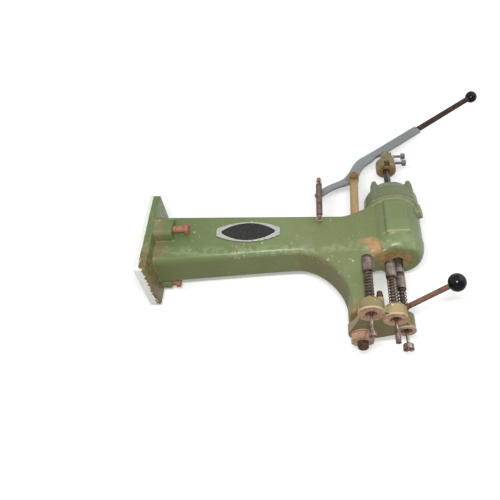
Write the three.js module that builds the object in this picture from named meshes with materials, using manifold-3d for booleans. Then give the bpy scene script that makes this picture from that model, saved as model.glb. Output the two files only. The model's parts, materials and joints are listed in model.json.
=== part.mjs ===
// A wall-mounted knothole drilling machine: a cast arm with a vertical motor at its end, a hand
// lever that presses the drive quill down, and a turret of three sprung tool spindles below it.
// Millimetres. The origin is the middle of the flange's wall face, X runs out along the arm,
// Z is up, and -Y is the side that the operator sees.

import * as THREE from 'three';
import Module from 'manifold-3d';

// Driving dimensions
const THROAT = 500; // wall face to the drilling axis
const STROKE = 50; // downward travel of the drive quill
const SWING = THREE.MathUtils.degToRad(30); // lever angle that gives the whole stroke
const GAP = 0.3; // between pieces that touch
const RUN = 0.5; // running clearance beside what slides or swings
const SAME = 0.002; // corners this close are one corner
const OVER = 6; // how far a cutter runs past what it cuts, and a boss into what carries it

// The casting
const FLANGE = { thickness: 21, width: 132, height: 184, corner: 6 };
const ARM = { depth: 75, topRoot: 56.5, topTip: 49.5, bottomRoot: 57, bottomTip: 37 };
const ARM_EDGE = { soft: 14, crisp: 5, change: 8 }; // soft only below the change, on the front
const RISE = { length: 66, height: 29.5 }; // where the arm's top sweeps up into the barrel
const LEG = { width: 45, bottom: 170 };
const SWEEP = { width: 95, height: 99 }; // the curve from the arm's underside into the leg
const SWEEP_SHARES = { leg: 0.1, arm: 0.45, root: 0.9 }; // where the underside's curves are pulled to
const WEB = { width: 26, height: 28 }; // the curve from the leg into the barrel's bowl
const CORE = { wall: 9, length: 345, hole: 14, spacing: 210 };
const BARREL = { radius: 55, bore: 45, top: 81, floor: 14, bottom: 39.5, bowlRadius: 42, bowlTop: 5 };
const FOOT = { radius: 24, height: 50 };
const PAD = { width: 48, bottom: 12, top: 74, proud: 2.8, round: 2 };
const POST_PAD = { width: 38, depth: 50, top: 62, edge: 4 };
const FLANGE_BOLT = { radius: 7, across: 19, head: 8, short: 1 };
const FRONT_LUG = { length: 36, width: 31, height: 41, z: 13, edge: 10, boltOut: 22 };
const BACK_LUG = { length: 19, width: 24, height: 24, z: -44, edge: 11, boltOut: 9 };
const INLET = { radius: 15, bore: 10, proud: 7, z: 66, depth: 5, ring: 2 };
const INLET_TURN = THREE.MathUtils.degToRad(-25); // round the motor's axis

// The motor
const CAP = { rimRadius: 58, rimHeight: 9, shoulder: 112, top: 132, topRadius: 46, plate: 8, draft: 1 };
const LUG = { circle: 50.5, radius: 9, proud: 2 };
const CAP_SCREW = { radius: 3, across: 10, head: 4, hold: 36 };
const BEARING = { radius: 27.7, height: 16, wall: 5 };
const RETAINER = { height: 3.6 };
const STATOR = { inner: 28, height: 60, coilInner: 31, coilOuter: 42, coilHeight: 12, slot: 4, slots: 6 };
const ROTOR = { shaft: 14, radius: 27.4, fanRadius: 40, fanHeight: 12, blades: 8, hub: 19, blade: 2 };
const QUILL = { lower: 10, upper: 7.5, stepZ: 95, bottom: 60, spigot: 6, spigotLength: 9 };
const KEY = { width: 5, out: 2, depth: 1.6, length: 26, z: 4 };
const DOG = { bottom: 70, tongue: 2.5, tongueWidth: 5 };

// The yoke on top of the quill, and the lever that presses it
const YOKE = { radius: 22.5, bottom: 205, height: 26, chamber: 16.3, plate: 4.2, clear: 2 };
const NOTCH = { width: 12, height: 13.5 }; // in the front of the yoke's skirt
const EAR = { width: 19, thickness: 6 };
const SHOULDER = { start: 10, length: 10, width: 19, height: 12, stepLength: 5.5, stepHeight: 26 };
const ROLLER = { radius: 8, width: 8.4, pin: 4, arm: 75 };
const THRUST = { inner: 8.2, height: 9.5 };
const COLLAR = { radius: 12, height: 2.5 };
const YOKE_SCREW = { radius: 3, across: 10, head: 10, seat: 37, upper: 252, lower: 231 };
const LEVER = { height: 181.5, thickness: 10, width: 20, tailX: 84, tailZ: 49, tailWidth: 13.5, eye: 12 };
const KNEE = { x: 38, z: 64, width: 22 };
// Rows of x, z and width, as shares of the tail's and the knee's own sizes
const TAIL_SHARES = [[-1, -1, 1], [-0.643, -0.5, 1], [-0.357, -0.255, 1.05], [-0.18, -0.1, 1.35]];
const KNEE_SHARES = [[0, 0.2, 1.04], [0.26, 0.53, 1.02], [0.55, 0.78, 1.04], [1, 1, 0.95]];
const BAR_SHARES = [0.18, 0.6, 1]; // how far along the bar its middle line is fixed
const PIN_SHARES = { x: 0.926, z: 0.896 }; // the tail pin's place within the tail
const BAR = { length: 158, angle: THREE.MathUtils.degToRad(37.8) };
const ROD = { radius: 6.7, spigot: 3, spigotLength: 24, length: 184.5 };
const BALL = { radius: 14.7, grip: 8, flat: 1.5 };
const PIVOT = { bolt: 6, across: 17, head: 4, nut: 10 };
const POST = { width: 18, thickness: 8, foot: 6, footWidth: 32, footDepth: 34, screwX: 9, screwY: 12 };
const POST_SCREW = { radius: 3, across: 10, head: 4, length: 18 };
const RETURN = { y: 45, coil: 5.5, wire: 2.4, pin: 3.5, low: 36, straight: 9, tail: 3 };
const STUD = { head: 4.6, headHeight: 2, depth: 7, reach: 14 };

// The turret and its tools
const TURRET = { circle: 80, step: THREE.MathUtils.degToRad(36), first: THREE.MathUtils.degToRad(-10) };
const HUB = { radius: 26, bottom: 190, bush: 13 };
const FAN = { thickness: 13, rim: 13 };
const PIVOT_STUD = { radius: 10, bottom: 219, top: 112 };
const STUD_NUT = { across: 41, height: 13, chamfer: 2, washer: 22.5, washerHeight: 2.6 };
const SPINDLE = { radius: 5, head: 9.8, headHeight: 6, top: 73, bottom: 190, slot: 3.2, slotWidth: 6 };
const CUP = { radius: 10, bore: 9.3, length: 26, plate: 4 };
const BOSS = { bottom: 193.2, recess: 11, recessDepth: 5, round: 3 };
const TOOL_SPRING = { coil: 7.9, wire: 2.1 };
const TOOL_A = { bossRadius: 23.6, bossHeight: 25, bitRadius: 7, bitHeight: 9, reach: 44 };
const TOOL_B = { bossRadius: 22.2, bossHeight: 25, bitRadius: 5, bitHeight: 22, reach: 46 };
const TOOL_C = { bossRadius: 18, bossHeight: 34, bitRadius: 10, bitHeight: 9, reach: 38 };
const BIT = { shank: 2.8, hold: 40, spur: 2.5, gash: 2.2, core: 2.4, rim: 1.8, dish: 3 };
const GRIP = { radius: 5, rise: THREE.MathUtils.degToRad(12.8), base: 166.4, baseAt: 60, from: 56, to: 187 };
const GRIP_BOSS = { radius: 10, from: 50, to: 73 };
const GRIP_BALL = { radius: 16.7, grip: 10, flat: 1.5 };
const OILER = { circle: 70, post: 7, postTop: 152, radius: 6.2, height: 14, neck: 5.4 };
const OILER_STEM = { radius: 3.5, length: 10 };
const OILER_WAIST_SHARE = 0.45;

// The badge plate, left plain
const BADGE = { width: 127, height: 49, thickness: 2, z: 11.5, x: 204, rim: 3, groove: 0.8, steps: 5 };
const BADGE_END = { height: 18, rim: 7 };
const PEG = { radius: 2.5, inset: 8, length: 6 };

const SIDES = { small: 10, medium: 14, large: 24, barrel: 32 };
const LEVER_STEPS = 20;
const TRACK_STEPS = 6;
const BALL_STEPS = 7;
const BOWL_STEPS = 4;
const SPRING_STEPS = 8;
const SPRING_SIDES = 5;
const RETURN_TURNS = 22.5;
const TOOL_A_TURNS = 15;
const TOOL_B_TURNS = 15;
const TOOL_C_TURNS = 12;

// The turret's axis stands so far behind the motor's that the first tool is on the motor's axis
const turretX = THROAT - TURRET.circle * Math.cos(TURRET.first);
const turretY = -TURRET.circle * Math.sin(TURRET.first);
const leverX = THROAT - ROLLER.arm;
const armFront = -ARM.depth / 2;
const legLeft = turretX - LEG.width / 2;
const legRight = turretX + LEG.width / 2;
const slotHalf = LEVER.thickness / 2 + RUN;
const pair = (middle, half) => [middle - half, middle + half];

const flangeBolts = [
  { name: 'flange_bolt_front', side: -1, lug: FRONT_LUG },
  { name: 'flange_bolt_back', side: 1, lug: BACK_LUG },
];
const tools = [
  { key: 'a', turns: TOOL_A_TURNS, ...TOOL_A },
  { key: 'b', turns: TOOL_B_TURNS, ...TOOL_B },
  { key: 'c', turns: TOOL_C_TURNS, ...TOOL_C },
];

// Places in and on the casting
const lugY = (lug) => FLANGE.width / 2 - lug.width / 2;
const boltLength = (lug) => FLANGE.thickness + lug.length + lug.boltOut - FLANGE_BOLT.short;
const coreZ = (ARM.topTip - ARM.bottomTip) / 2;
const coreHolePlaces = pair(FLANGE.thickness + CORE.wall + CORE.length / 2, CORE.spacing / 2);
const pegPlaces = pair(BADGE.x, BADGE.width / 2 - PEG.inset);
const postScrewPlaces = pair(0, POST.screwX).map((x) => [x, POST.screwY]);
const inletSeat = BARREL.radius + INLET.proud - INLET.depth;
const lugTop = CAP.top + LUG.proud;
const capScrewLength = lugTop - BARREL.top + CAP_SCREW.hold;
const lugReach = LUG.circle / Math.sqrt(2);
const lugPlaces = pair(0, lugReach).flatMap((x) => pair(0, lugReach).map((y) => [x, y]));
const tailPin = { x: -LEVER.tailX * PIN_SHARES.x, z: -LEVER.tailZ * PIN_SHARES.z };
const returnX = leverX + tailPin.x;

// Heights inside the motor, and in the yoke from its cover up to the roller under the lever
const lowerBearing = RETAINER.height + 2 * GAP - BARREL.bottom;
const capRoof = CAP.top - CAP.plate;
const upperBearing = capRoof - GAP - BEARING.height;
const collarLow = YOKE.bottom + YOKE.plate + GAP;
const thrustLow = collarLow + COLLAR.height + GAP;
const collarHigh = thrustLow + THRUST.height + GAP;
const barAbove = KNEE.z + (ROLLER.arm - KNEE.x) * Math.tan(BAR.angle);
const rollerBelow = (LEVER.width / 2 + ROLLER.radius + GAP) / Math.cos(BAR.angle);
const rollerZ = LEVER.height + barAbove - rollerBelow;
const slotFloor = rollerZ - ROLLER.radius - YOKE.clear;
const yokeScrewTip = SHOULDER.start + 2 * RUN;
const yokeScrews = [
  { name: 'yoke_screw_upper', z: YOKE_SCREW.upper },
  { name: 'yoke_screw_lower', z: YOKE_SCREW.lower },
];

const wasm = await Module();
wasm.setup();

// Numbers the corners of a geometry so that those in one place share a number
function shareCorners(positions) {
  const kept = [];
  const cells = new Map();
  const near = [-1, 0, 1];
  const offsets = near.flatMap((x) => near.flatMap((y) => near.map((z) => [x, y, z])));
  const numbers = Array.from({ length: positions.count }, (_, i) => {
    const point = new THREE.Vector3().fromBufferAttribute(positions, i);
    const cell = point.toArray().map((value) => Math.round(value / SAME));
    const match = offsets.map((offset) => cells.get(cell.map((value, k) => value + offset[k]).join()))
      .find((number) => number !== undefined && kept[number].distanceTo(point) < SAME);
    if (match !== undefined) return match;
    cells.set(cell.join(), kept.length);
    return kept.push(point) - 1;
  });
  return { kept, numbers };
}

// Joins the shared corners of a geometry, drops its empty triangles and turns its faces outwards
function closed(geometry) {
  const { kept, numbers } = shareCorners(geometry.attributes.position);
  const from = geometry.index ? geometry.index.array : numbers.keys().toArray();
  const corners = [];
  let volume = 0;
  for (let i = 0; i < from.length; i += 3) {
    const [a, b, c] = [numbers[from[i]], numbers[from[i + 1]], numbers[from[i + 2]]];
    if (a !== b && b !== c && c !== a) corners.push(a, b, c);
    volume += kept[a].dot(kept[b].clone().cross(kept[c]));
  }
  if (volume < 0) corners.reverse();
  const shape = new THREE.BufferGeometry().setFromPoints(kept);
  shape.setIndex(corners);
  return shape;
}

function toSolid(geometry) {
  const { attributes, index } = closed(geometry);
  const vertProperties = new Float32Array(attributes.position.array);
  const triVerts = new Uint32Array(index.array);
  return new wasm.Manifold(new wasm.Mesh({ numProp: 3, vertProperties, triVerts }));
}

function toGeometry(solid) {
  const mesh = solid.getMesh();
  const geometry = new THREE.BufferGeometry();
  geometry.setAttribute('position', new THREE.BufferAttribute(mesh.vertProperties, 3));
  geometry.setIndex(new THREE.BufferAttribute(mesh.triVerts, 1));
  return geometry;
}

function join(...shapes) {
  return toGeometry(shapes.map(toSolid).reduce((whole, next) => whole.add(next)));
}

function cut(body, ...tools) {
  return toGeometry(tools.map(toSolid).reduce((rest, tool) => rest.subtract(tool), toSolid(body)));
}

// A turned shape about Z from pairs of radius and height
function turned(profile, sides = SIDES.medium) {
  const points = profile.map(([radius, z]) => new THREE.Vector2(radius, z));
  return new THREE.LatheGeometry(points, sides).rotateX(Math.PI / 2);
}

function disc(radius, bottom, top, sides = SIDES.medium) {
  return turned([[0, bottom], [radius, bottom], [radius, top], [0, top]], sides);
}

function ring(inner, outer, bottom, top, sides = SIDES.medium) {
  const profile = [[inner, bottom], [outer, bottom], [outer, top], [inner, top], [inner, bottom]];
  return turned(profile, sides);
}

function box([x0, x1], [y0, y1], [z0, z1]) {
  const block = new THREE.BoxGeometry(x1 - x0, y1 - y0, z1 - z0);
  return block.translate((x0 + x1) / 2, (y0 + y1) / 2, (z0 + z1) / 2);
}

// A six- or four-sided head with its flats across apart
function head(across, bottom, top, sides = 6) {
  return disc(across / 2 / Math.cos(Math.PI / sides), bottom, top, sides);
}

// Turns a shape made along +Z so that it lies along a direction
function aim(shape, direction) {
  const up = new THREE.Vector3(0, 0, 1);
  return shape.applyQuaternion(new THREE.Quaternion().setFromUnitVectors(up, direction));
}

const alongX = (shape) => aim(shape, new THREE.Vector3(1, 0, 0));
const backwards = (shape) => aim(shape, new THREE.Vector3(0, 1, 0));
const forwards = (shape) => aim(shape, new THREE.Vector3(0, -1, 0));

// A rectangle with round corners, for a block or a pad
function roundedRectangle(width, height, corner) {
  const shape = new THREE.Shape();
  const [w, h] = [width / 2, height / 2];
  shape.moveTo(corner - w, -h);
  shape.lineTo(w - corner, -h);
  shape.absarc(w - corner, corner - h, corner, -Math.PI / 2, 0);
  shape.lineTo(w, h - corner);
  shape.absarc(w - corner, h - corner, corner, 0, Math.PI / 2);
  shape.lineTo(corner - w, h);
  shape.absarc(corner - w, h - corner, corner, Math.PI / 2, Math.PI);
  shape.lineTo(-w, corner - h);
  shape.absarc(corner - w, corner - h, corner, Math.PI, Math.PI * 1.5);
  return shape;
}

// A flat outline made solid from bottom to top
function slab(shape, bottom, top, curveSegments = 3) {
  const options = { depth: top - bottom, bevelEnabled: false, curveSegments };
  return new THREE.ExtrudeGeometry(shape, options).translate(0, 0, bottom);
}

// A block along X whose section is a rounded rectangle, from one x to another
function lugBlock(width, height, corner, x0, x1) {
  const block = slab(roundedRectangle(width, height, corner), x0, x1);
  return block.rotateX(Math.PI / 2).rotateZ(Math.PI / 2);
}

// A side view in X and Z made solid across Y, centred on y
function sideways(shape, thickness, y, curveSegments) {
  return slab(shape, -thickness / 2, thickness / 2, curveSegments).rotateX(Math.PI / 2).translate(0, y, 0);
}

// A bolt or screw: its shank runs up +Z from 0 to length, and its head sits below
function bolt({ radius, across, head: height, length }, sides = 6) {
  return join(head(across, -height, 0, sides), disc(radius, -height / 2, length, SIDES.small));
}

// The outline round a group of circles in plan, each given as x, y and radius
function hull(circles, steps = SIDES.medium) {
  const points = circles.flatMap(([x, y, radius]) => Array.from({ length: steps }, (_, i) => {
    const turn = (2 * Math.PI * i) / steps;
    return new THREE.Vector2(x + radius * Math.cos(turn), y + radius * Math.sin(turn));
  })).sort((p, q) => p.x - q.x || p.y - q.y);
  const side = (list) => list.reduce((chain, p) => {
    const bends = () => {
      const [a, b] = chain.slice(-2);
      return (b.x - a.x) * (p.y - a.y) - (b.y - a.y) * (p.x - a.x) <= 0;
    };
    while (chain.length > 1 && bends()) chain.pop();
    return [...chain, p];
  }, []);
  return new THREE.Shape([...side(points).slice(0, -1), ...side(points.reverse()).slice(0, -1)]);
}

// One unbroken round wire through points, with flat ends
function wireTube(points, radius) {
  const count = points.length;
  const ahead = (i) => {
    const next = points[Math.min(i + 1, count - 1)];
    return next.clone().sub(points[Math.max(i - 1, 0)]).normalize();
  };
  let side = new THREE.Vector3(0, 0, 1).cross(ahead(0));
  if (side.length() === 0) side = new THREE.Vector3(1, 0, 0).cross(ahead(0));
  const positions = [];
  points.forEach((point, i) => {
    const along = ahead(i);
    side.addScaledVector(along, -side.dot(along)).normalize();
    const other = along.clone().cross(side);
    for (let k = 0; k < SPRING_SIDES; k += 1) {
      const turn = (2 * Math.PI * k) / SPRING_SIDES;
      const out = side.clone().multiplyScalar(Math.cos(turn)).addScaledVector(other, Math.sin(turn));
      positions.push(...point.clone().addScaledVector(out, radius).toArray());
    }
  });
  const faces = [];
  for (let i = 0; i < count - 1; i += 1) {
    for (let k = 0; k < SPRING_SIDES; k += 1) {
      const [a, b] = [i * SPRING_SIDES + k, i * SPRING_SIDES + ((k + 1) % SPRING_SIDES)];
      faces.push(a, b, b + SPRING_SIDES, a, b + SPRING_SIDES, a + SPRING_SIDES);
    }
  }
  const last = (count - 1) * SPRING_SIDES;
  for (let k = 1; k < SPRING_SIDES - 1; k += 1) {
    faces.push(0, k + 1, k, last, last + k, last + k + 1);
  }
  const geometry = new THREE.BufferGeometry();
  geometry.setAttribute('position', new THREE.Float32BufferAttribute(positions, 3));
  geometry.setIndex(faces);
  return geometry;
}

// Prints the least gap between stretches of a wire that lie over half a turn apart
function printGap(name, points, diameter) {
  const apart = SPRING_STEPS / 2 + 1;
  let least = Infinity;
  points.forEach((point, i) => {
    for (let j = i + apart; j < points.length; j += 1) least = Math.min(least, point.distanceTo(points[j]));
  });
  console.log(`${name}: least gap to itself ${(least - diameter).toFixed(2)} mm`);
}

// Colours and finishes, one new material for each mesh
const FINISHES = {
  green: ['#7c8d5c', 0.5, 0.1],
  bareIron: ['#7a5f4c', 0.7, 0.6],
  rust: ['#9a6138', 0.85, 0.4],
  steel: ['#8b8680', 0.35, 0.9],
  brightSteel: ['#b9b6b0', 0.25, 1],
  springSteel: ['#4a423c', 0.5, 0.8],
  leverPaint: ['#7f8a8d', 0.5, 0.2],
  knob: ['#121212', 0.15, 0],
  copper: ['#a8642f', 0.4, 0.8],
  laminations: ['#5c5c5e', 0.6, 0.8],
  bronze: ['#8f7440', 0.45, 0.9],
  badge: ['#1c1c1b', 0.4, 0.3],
};

function piece(group, name, geometry, finish) {
  const [color, roughness, metalness] = FINISHES[finish];
  const material = new THREE.MeshStandardMaterial({ color, roughness, metalness });
  const mesh = new THREE.Mesh(closed(geometry), material);
  mesh.name = name;
  group.add(mesh);
  return mesh;
}

const machine = new THREE.Group();

function groupAt(parent, x, y, z = 0) {
  const group = new THREE.Group();
  group.position.set(x, y, z);
  parent.add(group);
  return group;
}

const motor = groupAt(machine, THROAT, 0);
const lever = groupAt(machine, leverX, 0, LEVER.height);
const turret = groupAt(machine, turretX, turretY);

// The arm, the leg and the sweep into the barrel, seen from the front
function armOutline() {
  const shape = new THREE.Shape();
  const root = FLANGE.thickness / 2;
  const riseEnd = THROAT - BARREL.bore;
  const riseStart = riseEnd - RISE.length;
  const riseTop = ARM.topTip + RISE.height;
  const inside = THROAT - BARREL.bore / 2;
  const sweepStart = legLeft - SWEEP.width;
  const sweepEnd = -ARM.bottomTip - SWEEP.height;
  shape.moveTo(root, ARM.topRoot);
  shape.lineTo(riseStart, ARM.topTip);
  shape.quadraticCurveTo(riseStart + RISE.length / 3, ARM.topTip, riseEnd, riseTop);
  shape.lineTo(inside, riseTop);
  shape.lineTo(inside, -BARREL.floor - OVER);
  shape.lineTo(legRight + WEB.width, -BARREL.bottom);
  shape.quadraticCurveTo(legRight, -BARREL.bottom, legRight, -BARREL.bottom - WEB.height);
  shape.lineTo(legRight, -LEG.bottom);
  shape.lineTo(legLeft, -LEG.bottom);
  shape.lineTo(legLeft, sweepEnd);
  shape.bezierCurveTo(
    legLeft - LEG.width * SWEEP_SHARES.leg, sweepEnd + SWEEP.height / 2,
    sweepStart + SWEEP.width * SWEEP_SHARES.arm, -ARM.bottomTip,
    sweepStart, -ARM.bottomTip,
  );
  shape.quadraticCurveTo(sweepStart * SWEEP_SHARES.root, -ARM.bottomTip, root, -ARM.bottomRoot);
  return shape;
}

// The barrel's outside, with its bowl-shaped bottom
function barrelOutside() {
  const corner = BARREL.radius - BARREL.bowlRadius;
  const drop = BARREL.bottom - BARREL.bowlTop;
  const bowl = Array.from({ length: BOWL_STEPS + 1 }, (_, i) => {
    const turn = (Math.PI / 2) * (i / BOWL_STEPS);
    return [BARREL.bowlRadius + corner * Math.sin(turn), -BARREL.bowlTop - drop * Math.cos(turn)];
  });
  return turned([[0, -BARREL.bottom], ...bowl, [BARREL.radius, BARREL.top], [0, BARREL.top]], SIDES.barrel);
}

// The hollow of the barrel: the motor's room, a shoulder, and the lower bearing's seat
function barrelInside() {
  const seat = BEARING.radius + GAP;
  const seatTop = lowerBearing + BEARING.height + GAP;
  return turned([
    [0, -BARREL.bottom - OVER], [seat, -BARREL.bottom - OVER], [seat, seatTop],
    [seat - BEARING.wall, seatTop], [seat - BEARING.wall, -BARREL.floor],
    [BARREL.bore, -BARREL.floor], [BARREL.bore, BARREL.top + OVER], [0, BARREL.top + OVER],
  ], SIDES.barrel);
}

// A round shape that stands out of the barrel's side where the cable goes in
function inletShape(radius, from, to) {
  const along = new THREE.Vector3(Math.cos(INLET_TURN), Math.sin(INLET_TURN), 0);
  return aim(disc(radius, from, to), along).translate(THROAT, 0, INLET.z);
}

// The arm with all its edges rounded alike
function armSlab(edge) {
  const options = {
    depth: ARM.depth - 2 * edge,
    bevelThickness: edge,
    bevelSize: edge,
    bevelOffset: -edge,
    bevelSegments: 2,
    curveSegments: 6,
  };
  const block = new THREE.ExtrudeGeometry(armOutline(), options).rotateX(Math.PI / 2);
  return block.translate(0, options.depth / 2, 0);
}

function castArm() {
  const softPart = box([-OVER, THROAT], [armFront - OVER, 0], [-LEG.bottom - OVER, ARM_EDGE.change]);
  const arm = join(armSlab(ARM_EDGE.soft), cut(armSlab(ARM_EDGE.crisp), softPart));
  const flange = lugBlock(FLANGE.width, FLANGE.height, FLANGE.corner, 0, FLANGE.thickness);
  const lugs = flangeBolts.map(({ lug, side }) => (
    lugBlock(lug.width, lug.height, lug.edge, FLANGE.thickness / 2, FLANGE.thickness + lug.length)
      .translate(0, side * lugY(lug), lug.z)
  ));
  const barrel = barrelOutside().translate(THROAT, 0, 0);
  const pad = slab(roundedRectangle(PAD.width, PAD.bottom + PAD.top, PAD.round), -BARREL.radius / 3, 0)
    .rotateX(Math.PI / 2)
    .translate(THROAT, -BARREL.radius - PAD.proud, (PAD.top - PAD.bottom) / 2);
  const postPad = slab(roundedRectangle(POST_PAD.width, POST_PAD.depth, POST_PAD.edge), 0, POST_PAD.top)
    .translate(leverX, 0, 0);
  const foot = disc(FOOT.radius, -LEG.bottom, FOOT.height - LEG.bottom, SIDES.large)
    .translate(turretX, turretY, 0);
  const inlet = inletShape(INLET.radius, BARREL.bore + GAP, BARREL.radius + INLET.proud);
  const outside = join(arm, flange, ...lugs, barrel, pad, postPad, foot, inlet);

  const core = box(
    [FLANGE.thickness + CORE.wall, FLANGE.thickness + CORE.wall + CORE.length],
    [CORE.wall - ARM.depth / 2, ARM.depth / 2 - CORE.wall],
    [CORE.wall - ARM.bottomTip, ARM.topTip - CORE.wall],
  );
  const coreHoles = coreHolePlaces.map((x) => (
    backwards(disc(CORE.hole, -CORE.wall - OVER, OVER)).translate(x, ARM.depth / 2, coreZ)
  ));
  const boltHoles = flangeBolts.map(({ lug, side }) => (
    alongX(disc(FLANGE_BOLT.radius + GAP, -OVER, FLANGE.thickness + lug.length + OVER, SIDES.small))
      .translate(0, side * lugY(lug), lug.z)
  ));
  const capHoles = lugPlaces.map(([x, y]) => (
    disc(CAP_SCREW.radius + GAP, lugTop - capScrewLength - OVER, BARREL.top + OVER, SIDES.small)
      .translate(THROAT + x, y, 0)
  ));
  const postHoles = postScrewPlaces.map(([x, y]) => (
    disc(POST_SCREW.radius + GAP, POST_PAD.top - POST_SCREW.length, POST_PAD.top + OVER, SIDES.small)
      .translate(leverX + x, y, 0)
  ));
  const studHole = forwards(disc(RETURN.pin + GAP, -STUD.depth - GAP, OVER, SIDES.small))
    .translate(returnX, armFront, RETURN.low);
  const pegHoles = pegPlaces.map((x) => (
    forwards(disc(PEG.radius + GAP, -PEG.length - GAP, OVER, SIDES.small)).translate(x, armFront, BADGE.z)
  ));
  const postPocket = box(
    pair(leverX, POST_PAD.width / 2), pair(0, POST_PAD.depth / 2), [POST_PAD.top, BARREL.top + OVER],
  );
  const pivotHole = disc(PIVOT_STUD.radius + GAP, -LEG.bottom - OVER, GAP - PIVOT_STUD.top)
    .translate(turretX, turretY, 0);
  return cut(
    outside,
    barrelInside().translate(THROAT, 0, 0),
    core,
    ...coreHoles,
    ...boltHoles,
    ...capHoles,
    postPocket,
    ...postHoles,
    studHole,
    ...pegHoles,
    pivotHole,
    inletShape(INLET.bore, BARREL.bore - OVER, BARREL.radius + INLET.proud + OVER),
    inletShape(INLET.bore + GAP + INLET.ring, inletSeat, BARREL.radius + INLET.proud + OVER),
  );
}

piece(machine, 'arm_casting', castArm(), 'green');

// Long bolts that hold the flange to the wall or stand
flangeBolts.forEach(({ name, lug, side }) => {
  const shape = bolt({ ...FLANGE_BOLT, length: boltLength(lug) }).rotateX(Math.PI);
  const x = FLANGE.thickness + lug.length + lug.boltOut;
  piece(machine, name, alongX(shape).translate(x, side * lugY(lug), lug.z), 'rust');
});

// An outline of two shallow arcs, with straight ends of a given height between them
function twoArcs(width, height, end) {
  const rise = (height - end) / 2;
  const radius = (width * width / 4 + rise * rise) / (2 * rise);
  const turn = Math.asin(width / 2 / radius);
  const shape = new THREE.Shape();
  shape.absarc(0, height / 2 - radius, radius, Math.PI / 2 - turn, Math.PI / 2 + turn);
  shape.absarc(0, radius - height / 2, radius, -Math.PI / 2 - turn, turn - Math.PI / 2);
  return shape;
}

// The badge plate: plain, with blunt ends and a raised rim, cast in one with its two pegs
function badgePlate() {
  const edge = twoArcs(BADGE.width, BADGE.height, BADGE_END.height);
  const plate = slab(edge, GAP, GAP + BADGE.thickness, BADGE.steps);
  const inner = twoArcs(BADGE.width - 2 * BADGE_END.rim, BADGE.height - 2 * BADGE.rim, 0);
  const field = slab(inner, GAP + BADGE.thickness - BADGE.groove, OVER, BADGE.steps);
  const pegs = pegPlaces.map((x) => (
    disc(PEG.radius, -PEG.length, GAP + BADGE.thickness, SIDES.small).translate(x - BADGE.x, 0, 0)
  ));
  return join(cut(plate, field), ...pegs).rotateX(Math.PI / 2).translate(BADGE.x, armFront, BADGE.z);
}

piece(machine, 'badge_plate', badgePlate(), 'badge');

// The lined hole where the cable goes in
piece(machine, 'inlet_ring', cut(
  inletShape(INLET.bore + INLET.ring, inletSeat + GAP, BARREL.radius + INLET.proud),
  inletShape(INLET.bore - INLET.ring, BARREL.bore - OVER, BARREL.radius + INLET.proud + OVER),
), 'rust');

// The motor's end shield, with four lugs for its screws
function motorCap() {
  const shell = turned([
    [0, BARREL.top + GAP], [CAP.rimRadius, BARREL.top + GAP],
    [CAP.rimRadius, BARREL.top + CAP.rimHeight], [CAP.rimRadius - CAP.draft, CAP.shoulder],
    [CAP.topRadius, CAP.top], [0, CAP.top],
  ], SIDES.barrel);
  const inside = turned([
    [0, BARREL.top - OVER], [BARREL.bore, BARREL.top - OVER], [BARREL.bore, upperBearing - GAP],
    [BEARING.radius + GAP, upperBearing - GAP], [BEARING.radius + GAP, capRoof],
    [QUILL.upper + 2 * RUN, capRoof], [QUILL.upper + 2 * RUN, CAP.top + OVER], [0, CAP.top + OVER],
  ], SIDES.barrel);
  const lugs = lugPlaces.map(([x, y]) => (
    disc(LUG.radius, BARREL.top + CAP.rimHeight / 2, lugTop, SIDES.medium).translate(x, y, 0)
  ));
  const holes = lugPlaces.map(([x, y]) => (
    disc(CAP_SCREW.radius + GAP, BARREL.top - OVER, lugTop + OVER, SIDES.small).translate(x, y, 0)
  ));
  return cut(join(shell, ...lugs), inside, ...holes);
}

piece(motor, 'motor_cap', motorCap(), 'green');
lugPlaces.forEach(([x, y], i) => {
  const shape = bolt({ ...CAP_SCREW, length: capScrewLength }).rotateX(Math.PI);
  piece(motor, `cap_screw_${i + 1}`, shape.translate(x, y, lugTop + GAP), 'steel');
});

// The stator: laminations pressed into the barrel, and the winding that runs through their slots
function statorSlots(radius) {
  return Array.from({ length: STATOR.slots }, (_, i) => {
    const turn = (2 * Math.PI * i) / STATOR.slots;
    const middle = (STATOR.coilInner + STATOR.coilOuter) / 2;
    return disc(radius, -OVER, STATOR.height + OVER, SIDES.small)
      .translate(middle * Math.cos(turn), middle * Math.sin(turn), 0);
  });
}

const coilRing = (bottom) => ring(STATOR.coilInner, STATOR.coilOuter, bottom, bottom + STATOR.coilHeight);
piece(motor, 'stator_core', cut(
  ring(STATOR.inner, BARREL.bore - GAP, 0, STATOR.height, SIDES.barrel),
  ...statorSlots(STATOR.slot + GAP),
), 'laminations');
piece(motor, 'stator_windings', join(
  coilRing(-GAP - STATOR.coilHeight), coilRing(STATOR.height + GAP), ...statorSlots(STATOR.slot),
), 'copper');

// Two ball bearings, drawn as plain rings, and the ring that keeps the lower one in
const bearing = (bottom) => (
  ring(ROTOR.shaft + GAP, BEARING.radius, bottom, bottom + BEARING.height, SIDES.large)
);
piece(motor, 'lower_bearing', bearing(lowerBearing), 'steel');
piece(motor, 'upper_bearing', bearing(upperBearing), 'steel');
piece(motor, 'bearing_retainer', ring(
  QUILL.lower + 2 * RUN, BEARING.radius, GAP - BARREL.bottom, GAP - BARREL.bottom + RETAINER.height,
), 'rust');

// The rotor is hollow, so that the quill slides down through it and a key turns the two together
const keySlot = [-KEY.width / 2 - GAP, KEY.width / 2 + GAP];
function rotorShaft() {
  const bore = QUILL.lower + GAP;
  const tube = ring(bore, ROTOR.shaft, lowerBearing, upperBearing + BEARING.height, SIDES.large);
  const outer = QUILL.lower + KEY.out + 2 * GAP;
  return cut(tube, box([bore - OVER, outer], keySlot, [KEY.z - GAP, KEY.z + KEY.length + GAP]));
}

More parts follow.
